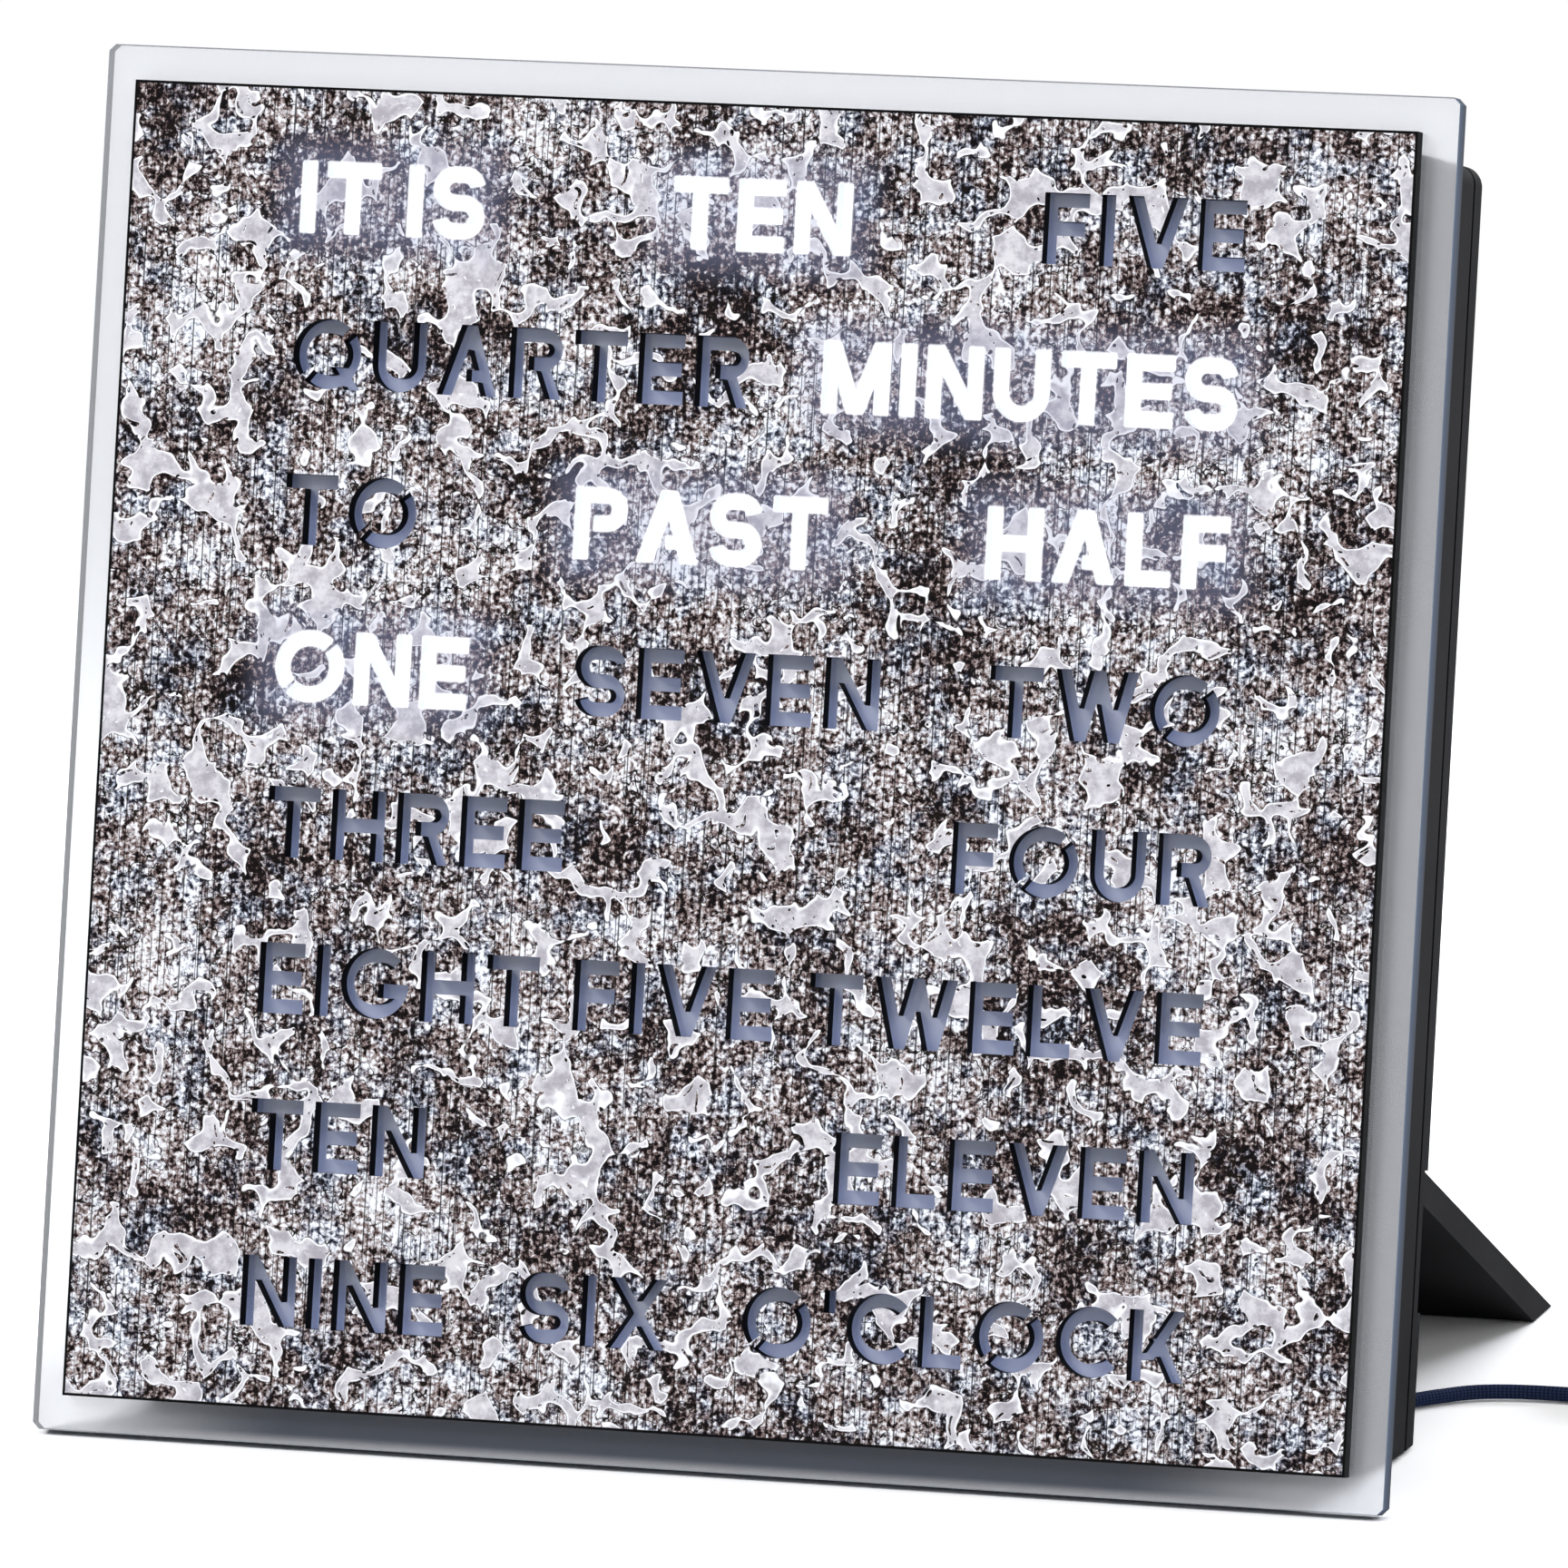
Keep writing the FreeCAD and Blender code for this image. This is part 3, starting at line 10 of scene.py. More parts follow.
# %% Load the rigid model
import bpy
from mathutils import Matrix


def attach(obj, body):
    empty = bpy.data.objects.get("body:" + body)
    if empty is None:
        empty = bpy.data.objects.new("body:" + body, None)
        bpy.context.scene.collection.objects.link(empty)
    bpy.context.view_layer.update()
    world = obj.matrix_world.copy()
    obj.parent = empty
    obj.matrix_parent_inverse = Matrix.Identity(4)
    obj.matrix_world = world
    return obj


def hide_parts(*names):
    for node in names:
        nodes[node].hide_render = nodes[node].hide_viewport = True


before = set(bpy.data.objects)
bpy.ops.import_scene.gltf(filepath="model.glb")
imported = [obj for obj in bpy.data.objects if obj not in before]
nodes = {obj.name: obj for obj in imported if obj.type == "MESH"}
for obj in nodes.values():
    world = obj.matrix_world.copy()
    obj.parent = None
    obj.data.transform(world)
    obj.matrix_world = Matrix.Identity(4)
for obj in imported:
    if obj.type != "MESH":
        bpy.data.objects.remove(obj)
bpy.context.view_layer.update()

import math

import bpy
import numpy as np
from mathutils import Matrix, Vector

MM = 0.001
LEAN = math.radians(11.0)

# %% [markdown]
# ## The camera
# A product photograph like this is taken from far away with a long lens, so that the square pane
# stays nearly square. The camera stands 2.3 m off, a little to the right, and looks down by ten
# degrees, which is almost square on to the leaning pane.

# %% Set up the camera
CAMERA_PLACE = Vector((599.7, -2171.6, 489.2)) * MM
CAMERA_RIGHT = Vector((0.96273, 0.27044, 0.00383))
CAMERA_UP = Vector((-0.05083, 0.16700, 0.98464))
CAMERA_BACK = CAMERA_RIGHT.cross(CAMERA_UP)
LENS = 351.07

camera = bpy.data.objects.new("camera", bpy.data.cameras.new("camera"))
bpy.context.scene.collection.objects.link(camera)
turn = Matrix((CAMERA_RIGHT, CAMERA_UP, CAMERA_BACK)).transposed().to_4x4()
camera.matrix_world = Matrix.Translation(CAMERA_PLACE) @ turn
camera.data.lens = LENS
camera.data.sensor_width = 36.0
bpy.context.scene.camera = camera
print("camera", round(CAMERA_PLACE.length, 3), "m from the middle of the clock's stand")

# %% [markdown]
# ## The woven lead
# The real lead is a thin low-voltage cable in a navy woven sleeve. It comes straight out of the
# bush in the back, drops to the table, runs off to the right and ends in its plug. What the
# photograph doesn't show is wound into a neat coil. One smooth spline carries the whole route:
# first the listed points, then the turns of the coil by formula, then the tail. A tube is
# made along the points that Blender works out for that spline.

# %% The lead's route, in millimetres
CORD_RADIUS = 1.1
BUSH_END = (82.0, -17.03, 5.69)
HAND_POINTS = [
    BUSH_END, (82.0, -10.84, 4.49), (86.6, -2.6, 1.1), (91.8, 4.2, 1.1), (97.0, 9.6, 1.1),
    (105.5, 11.4, 1.1), (117.5, 10.6, 1.1), (127.8, 10.6, 1.1),
]
TAIL_POINTS = [(148.48, 31.28, 9.2), (148.48, 37.78, 9.2), (148.2, 46.5, 6.9),
               (147.3, 54.5, 3.8), (147.3, 61.5, 3.8)]
COIL_MIDDLE = (130.0, 29.0838, 1.1)
COIL_RADIUS = 13.0
COIL_PITCH = 2.7
LAYER_TURNS = 4.0625
LAYERS = 4
POINTS_PER_TURN = 16


def coil_points():
    """Turns that spiral in, out, in and out again: the radius goes steadily between two limits as
    a triangle wave of the turn, and the height rises by one pitch in the half turn about each
    reversal. The point is middle + radius * (cos, sin) of the turn, less a quarter turn."""
    turns = LAYERS * LAYER_TURNS
    turn = np.linspace(0, turns, int(turns * POINTS_PER_TURN) + 1)
    layer = np.minimum(turn // LAYER_TURNS, LAYERS - 1)
    share = turn / LAYER_TURNS - layer
    share = np.where(layer % 2 == 1, 1 - share, share)
    spread = COIL_RADIUS + COIL_PITCH * LAYER_TURNS * (0.5 - share)
    angle = 2 * math.pi * turn - math.pi / 2
    height = np.zeros_like(turn)
    for reversal in range(1, LAYERS):
        climb = np.clip((turn - reversal * LAYER_TURNS) / 0.5 + 0.5, 0, 1)
        height += COIL_PITCH * climb ** 2 * (3 - 2 * climb)
    flat = np.stack([spread * np.cos(angle), spread * np.sin(angle), height], axis=1)
    return flat + np.array(COIL_MIDDLE)


route = np.vstack([HAND_POINTS, coil_points(), TAIL_POINTS]) * MM
print(len(route), "points in the lead's route")


# %% Lay the route as a smooth spline
def smooth_line(name, points):
    """The points that a NURBS spline with the given control points passes through."""
    curve = bpy.data.curves.new(name, "CURVE")
    curve.dimensions = "3D"
    spline = curve.splines.new("NURBS")
    spline.points.add(len(points) - 1)
    spline.points.foreach_set("co", np.column_stack([points, np.ones(len(points))]).ravel())
    spline.order_u = 3
    spline.use_endpoint_u = True
    spline.resolution_u = 4
    carrier = bpy.data.objects.new(name, curve)
    bpy.context.scene.collection.objects.link(carrier)
    line_mesh = bpy.data.meshes.new_from_object(carrier)
    line = np.empty(len(line_mesh.vertices) * 3)
    line_mesh.vertices.foreach_get("co", line)
    bpy.data.objects.remove(carrier)
    bpy.data.meshes.remove(line_mesh)
    bpy.data.curves.remove(curve)
    return line.reshape(-1, 3)


lead_line = smooth_line("lead_route", route)


# %% Directions along the line
def frames_along(line):
    """Unit tangents, and the level and the upward normal at each point: side is tangent x up."""
    tangent = np.gradient(line, axis=0)
    tangent /= np.linalg.norm(tangent, axis=1)[:, None]
    side = np.cross(tangent, (0.0, 0.0, 1.0))
    side /= np.linalg.norm(side, axis=1)[:, None]
    return side, np.cross(side, tangent)


# %% A tube along the line
def tube(name, line, radius, sides=14):
    """A closed tube: point = line + radius * (cos a * side + sin a * up), with a flat fan at each
    end. The UV map holds the length along the line and the way round, both in metres."""
    side, up = frames_along(line)
    angle = np.linspace(0, 2 * math.pi, sides, endpoint=False)
    ring = np.cos(angle)[None, :, None] * side[:, None] + np.sin(angle)[None, :, None] * up[:, None]
    points = (line[:, None] + radius * ring).reshape(-1, 3)
    points = np.vstack([points, line[0], line[-1]])
    row = np.arange(len(line) - 1)[:, None] * sides
    column = np.arange(sides)[None, :]
    after = (column + 1) % sides
    quads = np.stack([row + column, row + sides + column, row + sides + after, row + after], axis=2)
    first, last = len(points) - 2, (len(line) - 1) * sides
    start = [(first, int(a), int(b)) for a, b in zip(column[0], after[0])]
    end = [(first + 1, int(last + b), int(last + a)) for a, b in zip(column[0], after[0])]
    mesh = bpy.data.meshes.new(name)
    mesh.from_pydata(points.tolist(), [], quads.reshape(-1, 4).tolist() + start + end)

    along = np.concatenate([[0], np.cumsum(np.linalg.norm(np.diff(line, axis=0), axis=1))])
    around = np.arange(sides + 1) / sides * 2 * math.pi * radius
    low, high = along[:-1, None], along[1:, None]
    left, right = around[None, :-1], around[None, 1:]
    corners = np.stack(np.broadcast_arrays(low, left, high, left, high, right, low, right), axis=2)
    weave = np.zeros(len(mesh.loops) * 2)
    weave[:corners.size] = corners.ravel()
    mesh.uv_layers.new(name="weave").data.foreach_set("uv", weave)
    mesh.shade_smooth()
    made = bpy.data.objects.new(name, mesh)
    bpy.context.scene.collection.objects.link(made)
    return made


lead = tube("woven_lead", lead_line, CORD_RADIUS * MM)
print("woven lead", len(lead.data.polygons), "faces")

# %% Say what the lead is
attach(lead, "clock")
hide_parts("cord", "cord_coil", "cord_tail")

# %% [markdown]
# ## The studio
# The clock stands on a plain pale floor in front of nothing, like a cut-out product picture. The
# world and the floor look white to the camera, and also to glass and metal, but the light that
# reaches the clock comes from a soft grey sky and four large lamps. So colours stay as written.
#
# Materials and the world are node trees. One function adds any node, and everything after it is
# written with that function alone.

# %% A colour as the screen shows it
def linear(hex_colour):
    """A colour such as "8F8B8C" turned into Blender's linear light: ((c + 0.055) / 1.055) to the
    power 2.4, or c / 12.92 in the darkest part."""
    shown = np.array([int(hex_colour[place:place + 2], 16) for place in (0, 2, 4)]) / 255
    light = np.where(shown > 0.04045, ((shown + 0.055) / 1.055) ** 2.4, shown / 12.92)
    return (*light.tolist(), 1.0)


print("white is", linear("FFFFFF"), "and mid grey", linear("808080"))


# %% Add one node
def feed(tree, node, links):
    """Gives each input socket, by name or number, its value or the output that feeds it."""
    for name, value in links.items():
        if isinstance(value, bpy.types.NodeSocket):
            tree.links.new(value, node.inputs[name])
        else:
            node.inputs[name].default_value = value


def put(tree, kind, links=None, stops=None, out=0, **settings):
    """Adds one shader node and gives back its output number or name out. The settings are its own
    properties, links feeds its inputs, and stops lays a colour ramp's places and colours."""
    node = tree.nodes.new("ShaderNode" + kind)
    for name, value in settings.items():
        setattr(node, name, value)
    feed(tree, node, links or {})
    if stops:
        ramp = node.color_ramp.elements
        while len(ramp) < len(stops):
            ramp.new(1.0)
        for element, (place, colour) in zip(ramp, stops):
            element.position = place
            element.color = linear(colour)
    return node.outputs[out] if len(node.outputs) else None


# %% [markdown]
# Two nodes come back again and again with the same settings. A Mix node that blends two colours
# takes them in its sockets 6 and 7 and gives the blend from output 2. A Map Range node set to
# SMOOTHSTEP goes from 0, at the value in socket 1, to 1, at the value in socket 2, in an even
# S-curve, and it may also fall, when the first value is the larger.

# %% Settings that come back
FIRST, SECOND = 6, 7
BLEND = {"data_type": "RGBA", "out": 2}
EASED = {"interpolation_type": "SMOOTHSTEP"}
print("a blend takes sockets", FIRST, "and", SECOND)


# %% The world
def seen_directly(tree):
    """1 for rays that come from the camera, off a mirror or through glass, else 0."""
    rays = put(tree, "LightPath").node.outputs
    seen = put(tree, "Math", {0: rays["Is Camera Ray"], 1: rays["Is Glossy Ray"]},
               operation="MAXIMUM")
    return put(tree, "Math", {0: seen, 1: rays["Is Transmission Ray"]}, operation="MAXIMUM")


SKY_LIGHT = 0.34
bpy.context.scene.view_settings.view_transform = "Standard"
world = bpy.data.worlds.new("studio")
bpy.context.scene.world = world
world.use_nodes = True
sky = world.node_tree
sky.nodes.clear()
sky_grey = put(sky, "Background", {"Color": linear("FFFFFF"), "Strength": SKY_LIGHT})
sky_white = put(sky, "Background", {"Color": linear("FFFFFF"), "Strength": 1.0})
sky_mix = put(sky, "MixShader", {0: seen_directly(sky), 1: sky_grey, 2: sky_white})
put(sky, "OutputWorld", {"Surface": sky_mix})
print("sky light", SKY_LIGHT)

# %% The floor
FLOOR_REACH = 3.0
FLOOR_HEIGHT = -0.0002
corner = FLOOR_REACH * np.array([(-1, -1), (1, -1), (1, 1), (-1, 1)])
floor_mesh = bpy.data.meshes.new("pale_floor")
floor_mesh.from_pydata(np.column_stack([corner, np.full(4, FLOOR_HEIGHT)]).tolist(), [],
                       [(0, 1, 2, 3)])
floor = bpy.data.objects.new("pale_floor", floor_mesh)
bpy.context.scene.collection.objects.link(floor)
print("floor", 2 * FLOOR_REACH, "m wide")

# %% [markdown]
# The floor's paint keeps the clock's shadow. Where it is seen directly, its colour is 1.5 times
# white, so that lit floor shows white, and from 0.35 to 0.9 m away it fades into plain white
# light, because the lamps fade there too.

# %% The floor's paint
FLOOR_SHOWN = 1.5
FLOOR_NEAR, FLOOR_FAR = 0.35, 0.9
floor_paint = bpy.data.materials.new("matt pale floor paint")
floor_paint.use_nodes = True
ground = floor_paint.node_tree
ground.nodes.clear()
seen = seen_directly(ground)
shown = put(ground, "Mix", {0: seen, FIRST: linear("F0F0F2"),
                            SECOND: (FLOOR_SHOWN, FLOOR_SHOWN, FLOOR_SHOWN, 1.0)}, **BLEND)
away = put(ground, "VectorMath", {0: put(ground, "TexCoord", out="Object")}, operation="LENGTH",
           out="Value")
fade = put(ground, "MapRange", {0: away, 1: FLOOR_NEAR, 2: FLOOR_FAR}, **EASED)
fade = put(ground, "Math", {0: fade, 1: seen}, operation="MULTIPLY")
paint = put(ground, "BsdfDiffuse", {"Color": shown})
white = put(ground, "Emission", {"Color": linear("FFFFFF"), "Strength": 1.0})
surface = put(ground, "MixShader", {0: fade, 1: paint, 2: white})
put(ground, "OutputMaterial", {"Surface": surface})
floor_mesh.materials.append(floor_paint)
print("floor paint fades from", FLOOR_NEAR, "to", FLOOR_FAR, "m")

# %% Four soft lamps
CLOCK_MIDDLE = Vector((0.0, 0.0, 0.1))


def soft_lamp(name, place, width, watts, tint):
    """A square area lamp that faces the clock."""
    lamp = bpy.data.lights.new(name, "AREA")
    lamp.shape = "SQUARE"
    lamp.size = width
    lamp.energy = watts
    lamp.color = linear(tint)[:3]
    holder = bpy.data.objects.new(name, lamp)
    holder.location = place
    holder.rotation_euler = (CLOCK_MIDDLE - Vector(place)).to_track_quat("-Z", "Y").to_euler()
    bpy.context.scene.collection.objects.link(holder)


soft_lamp("upper_left", (-1.2, -1.5, 1.5), 0.9, 38.0, "FFFFFF")
soft_lamp("front_right", (1.3, -1.6, 0.9), 1.0, 8.0, "FFFFFF")
soft_lamp("overhead", (0.1, 0.3, 1.9), 1.2, 12.0, "FFFFFF")
soft_lamp("behind", (0.9, 1.8, 0.9), 0.7, 28.0, "F6F8FF")
print("four lamps")

# %% [markdown]
# ## Places on the leaning pane
# Every pattern is laid in millimetres in the pane's own frame: X runs right, Y runs back from the
# pane's front face and Z runs up the pane. Object coordinates are in metres and upright, so one
# Mapping node scales them by 1000, turns them by the lean and sets them on the pane's lower edge.

# %% Pane coordinates
PANE_SIDE = 205.0
PANE_THICK = 4.0
PANE_DUB = 1.0
PLATE_MARGIN = 5.3
PLATE_THICK = 3.0
STAND_BACK = 75.54
STAND_LIFT = 0.763
PANE_BACK = STAND_BACK * math.cos(LEAN) + STAND_LIFT * math.sin(LEAN)
PANE_UP = STAND_BACK * math.sin(LEAN) - STAND_LIFT * math.cos(LEAN)
METRE = (1000.0, 1000.0, 1000.0)


def on_pane(tree):
    """Place on the pane in millimetres: across, back and up."""
    return put(tree, "Mapping", {"Vector": put(tree, "TexCoord", out="Object"), "Scale": METRE,
                                 "Rotation": (LEAN, 0.0, 0.0),
                                 "Location": (0.0, PANE_BACK, PANE_UP)})


def from_middle(tree, across, up):
    """How far a place is from the pane's middle, sideways and up or down, without signs."""
    offset = put(tree, "Math", {0: up, 1: PANE_SIDE / 2}, operation="SUBTRACT")
    return (put(tree, "Math", {0: across}, operation="ABSOLUTE"),
            put(tree, "Math", {0: offset}, operation="ABSOLUTE"))


print("pane frame", round(PANE_BACK, 2), "mm back and", round(PANE_UP, 2), "mm up")

# %% [markdown]
# The light of the lit words is painted on the print round them, as a haze and a glow. Where they
# are is measured on the rigid model: each lit word has a tile of milky plastic behind it.

# %% Where the lit words are
TILE_OVERHANG = 1.2
TILE_CORNERS = 36


def lit_word_boxes():
    """Middle and half size of each lit word, a little less than its tile, across and up the pane
    in millimetres. A tile is a box of 12 triangles, so its 36 corners stand together."""
    tiles = nodes["lit_tiles"].data
    places = np.empty(len(tiles.vertices) * 3)
    tiles.vertices.foreach_get("co", places)
    order = np.empty(len(tiles.loops), dtype=int)
    tiles.loops.foreach_get("vertex_index", order)
    corners = places.reshape(-1, 3)[order].reshape(-1, TILE_CORNERS, 3) / MM
    up = corners[:, :, 1] * math.sin(LEAN) + corners[:, :, 2] * math.cos(LEAN) + PANE_UP
    flat = np.stack([corners[:, :, 0], up], axis=2)
    low, high = flat.min(axis=1), flat.max(axis=1)
    return (low + high) / 2, (high - low) / 2 - TILE_OVERHANG


LIT_MIDDLES, LIT_HALVES = lit_word_boxes()
for middle, half in zip(LIT_MIDDLES, LIT_HALVES):
    print("lit word at", np.round(middle, 1), "half size", np.round(half, 1))


# %% Near the lit words
def near_lit_words(tree, flat, reach):
    """1 inside a lit word's box, and down to 0 at reach millimetres from the nearest one. The
    distance to a box is the length of max(|place - middle| - half, 0)."""
    nearest = 2 * PANE_SIDE
    for middle, half in zip(LIT_MIDDLES.tolist(), LIT_HALVES.tolist()):
        offset = put(tree, "VectorMath", {0: flat, 1: (*middle, 0.0)}, operation="SUBTRACT")
        size = put(tree, "VectorMath", {0: offset}, operation="ABSOLUTE")
        past = put(tree, "VectorMath", {0: size, 1: (*half, 0.0)}, operation="SUBTRACT")
        beyond = put(tree, "VectorMath", {0: past, 1: (0.0, 0.0, 0.0)}, operation="MAXIMUM")
        away = put(tree, "VectorMath", {0: beyond}, operation="LENGTH", out="Value")
        nearest = put(tree, "Math", {0: nearest, 1: away}, operation="MINIMUM")
    return put(tree, "MapRange", {0: nearest, 1: reach, 2: 0.0}, **EASED)


# %% [markdown]
# ## The stone print on the face plate
# The plate is steel with a printed laminate of weathered concrete. Seen close, the print has four
# layers: a hard speckle of white, grey, brown and near black under a millimetre across, thin dark
# score lines that run up the plate, dark cracks, and smooth pale patches with concave sides, like
# what stays between bubbles. A Voronoi texture's distance to its nearest point is large just there,
# so a threshold on it draws these patches, and noise that shifts the place bends their sides.
# A picture of concrete would be simpler, but a pattern from formulas stays sharp at any distance.

# %% Print colours
WARM_STONE = [(0.405, "0A0709"), (0.44, "2E2426"), (0.47, "6B5855"), (0.506, "9A8C8B"),
              (0.545, "C4C2C6"), (0.585, "E9EAF1")]
COOL_STONE = [(0.405, "08080B"), (0.44, "272935"), (0.47, "585D6E"), (0.504, "8F95A4"),
              (0.542, "C4C9D3"), (0.58, "ECF0F9")]
PATCH_FILL, PATCH_SHADE, PATCH_RIM, PATCH_OUTLINE = "D6D4DA", "A6A3AC", "EFF0F6", "221C1A"
CRACK_DARK, SCORE_DARK = "17120F", "120E0C"
# Painted light and shade on the plate: a haze round lit words, pale walls and a glow in and round
# them, and near black in the other cuts and on the rim.
PAINTED_LIT_HAZE, PAINTED_LIT_WALL, PAINTED_GLOW_TINT, PAINTED_CUT_SHADE = "868AA8", "D4D9E8", "EEF1FF", "060607"
print(len(WARM_STONE) + len(COOL_STONE), "stone colours")


# %% Start a finish
def new_finish(name, roughness, gloss=0.5):
    """A material with Blender's main surface shader, its node tree and that shader. A gloss of
    0.5 is a clean plastic's reflection, and less is a matt or dusty one's."""
    finish = bpy.data.materials.new(name)
    finish.use_nodes = True
    shader = finish.node_tree.nodes["Principled BSDF"]
    feed(finish.node_tree, shader, {"Roughness": roughness, "Specular IOR Level": gloss})
    return finish, finish.node_tree, shader


# %% The speckle
GRAIN_SIZE, GRAIN_SHARE = 0.8, -0.08
STONE_STEEPNESS, STONE_OFFSET = 1.5, -0.266


def speckle(tree, flat):
    """The ground of the print and its height. Clouds of three sizes, upright streaks and round
    grains are added by their shares, and two steep ramps turn the sum into warm and cool stone.
    Each row is place, size in millimetres, detail, roughness, bend and share."""
    upright = put(tree, "Mapping", {"Vector": flat, "Scale": (1.0, 0.12, 1.0)})
    total = 0.0
    for place, size, detail, roughness, bend, share in (
            (flat, 0.9, 6.0, 0.7, 0.5, 0.52), (flat, 3.5, 4.0, 0.7, 0.8, 0.2),
            (upright, 0.8, 3.0, 0.6, 0.0, 0.16), (flat, 20.0, 2.0, 0.5, 0.0, 0.2)):
        cloud = put(tree, "TexNoise", {"Vector": place, "Scale": 1.0 / size, "Detail": detail,
                                       "Roughness": roughness, "Distortion": bend})
        total = put(tree, "Math", {0: cloud, 1: share, 2: total}, operation="MULTIPLY_ADD")
    grains = put(tree, "TexVoronoi", {"Vector": flat, "Scale": 1.0 / GRAIN_SIZE},
                 voronoi_dimensions="2D")
    total = put(tree, "Math", {0: grains, 1: GRAIN_SHARE, 2: total}, operation="MULTIPLY_ADD")
    total = put(tree, "Math", {0: total, 1: STONE_STEEPNESS, 2: STONE_OFFSET},
                operation="MULTIPLY_ADD")
    areas = put(tree, "TexNoise", {"Vector": flat, "Scale": 1.0 / 7.0, "Detail": 5.0,
                                   "Roughness": 0.7})
    share = put(tree, "MapRange", {0: areas, 1: 0.45, 2: 0.63}, **EASED)
    warm = put(tree, "ValToRGB", {0: total}, WARM_STONE)
    cool = put(tree, "ValToRGB", {0: total}, COOL_STONE)
    return put(tree, "Mix", {0: share, FIRST: warm, SECOND: cool}, **BLEND), total


# %% The score lines
def score_lines(tree, across, flat):
    """Dark lines up the plate at uneven spacings: a one-way Voronoi texture is 0 at the borders
    between its cells. Long thin noise breaks the lines. Each row is the spacing, the width, both
    in millimetres, and the level of noise above which a line is kept."""
    lines = 0.0
    for spacing, width, kept in ((2.7, 0.16, 0.43), (1.15, 0.1, 0.51)):
        border = put(tree, "TexVoronoi", {"W": across, "Scale": 1.0 / spacing},
                     voronoi_dimensions="1D", feature="DISTANCE_TO_EDGE")
        line = put(tree, "MapRange", {0: border, 1: width / spacing, 2: 0.3 * width / spacing},
                   **EASED)
        drawn_out = put(tree, "Mapping", {"Vector": flat, "Scale": (0.9, 0.05, 1.0),
                                          "Location": (0.0, 0.0, spacing)})
        gaps = put(tree, "TexNoise", {"Vector": drawn_out, "Scale": 1.0, "Detail": 3.0})
        unbroken = put(tree, "MapRange", {0: gaps, 1: kept - 0.05, 2: kept + 0.05}, **EASED)
        line = put(tree, "Math", {0: line, 1: unbroken}, operation="MULTIPLY")
        lines = put(tree, "Math", {0: lines, 1: line}, operation="MAXIMUM")
    return lines


# %% The cracks
def cracks(tree, flat):
    """Thin dark curves: the places where cloudy noise is just one half, kept in some areas only.
    Each row is the size of the clouds in millimetres, the width as a step of the noise, and the
    level of a second noise above which a crack is kept."""
    curves = 0.0
    for size, width, kept in ((7.0, 0.012, 0.46), (2.6, 0.022, 0.53)):
        clouds = put(tree, "TexNoise", {"Vector": flat, "Scale": 1.0 / size, "Detail": 3.0,
                                        "Roughness": 0.6})
        level = put(tree, "Math", {0: clouds, 1: 0.5}, operation="SUBTRACT")
        off = put(tree, "Math", {0: level}, operation="ABSOLUTE")
        curve = put(tree, "MapRange", {0: off, 1: width, 2: 0.3 * width}, **EASED)
        elsewhere = put(tree, "VectorMath", {0: flat, 1: (size, 50.0, 0.0)}, operation="ADD")
        areas = put(tree, "TexNoise", {"Vector": elsewhere, "Scale": 1.0 / (1.3 * size)})
        cracked = put(tree, "MapRange", {0: areas, 1: kept, 2: kept + 0.05}, **EASED)
        curve = put(tree, "Math", {0: curve, 1: cracked}, operation="MULTIPLY")
        curves = put(tree, "Math", {0: curves, 1: curve}, operation="MAXIMUM")
    return curves


# %% The pale patches
BUBBLE_SIZE, CROWD_SIZE, LUMP_SIZE, DROP_SIZE = 4.6, 15.0, 2.6, 2.2
WARP_REACH = 8.0


def pale_patches(tree, flat):
    """How far a place lies inside a pale patch, about -0.3 far outside to 0.3 deep inside: the
    distance to the nearest bubble, more where wide noise crowds the patches, made uneven by small
    lumps, and less in a few round holes."""
    swirl = put(tree, "TexNoise", {"Vector": flat, "Scale": 0.2, "Detail": 0.6}, out="Color")
    centred = put(tree, "VectorMath", {0: swirl, 1: (0.5, 0.5, 0.5)}, operation="SUBTRACT")
    shift = put(tree, "VectorMath", {0: centred, "Scale": WARP_REACH}, operation="SCALE")
    bent = put(tree, "VectorMath", {0: flat, 1: shift}, operation="ADD")
    bubbles = put(tree, "TexVoronoi", {"Vector": bent, "Scale": 1.0 / BUBBLE_SIZE,
                                       "Smoothness": 0.35},
                  voronoi_dimensions="2D", feature="SMOOTH_F1")
    crowd = put(tree, "TexNoise", {"Vector": flat, "Scale": 1.0 / CROWD_SIZE})
    lumps = put(tree, "TexNoise", {"Vector": flat, "Scale": 1.0 / LUMP_SIZE, "Detail": 1.0})
    inside = put(tree, "Math", {0: crowd, 1: 1.3, 2: -1.42}, operation="MULTIPLY_ADD")
    inside = put(tree, "Math", {0: lumps, 1: 0.34, 2: inside}, operation="MULTIPLY_ADD")
    inside = put(tree, "Math", {0: inside, 1: bubbles}, operation="ADD")
    drops = put(tree, "TexVoronoi", {"Vector": bent, "Scale": 1.0 / DROP_SIZE},
                voronoi_dimensions="2D")
    holes = put(tree, "MapRange", {0: drops, 1: 0.2, 2: 0.08}, **EASED)
    return put(tree, "Math", {0: holes, 1: -0.3, 2: inside}, operation="MULTIPLY_ADD")


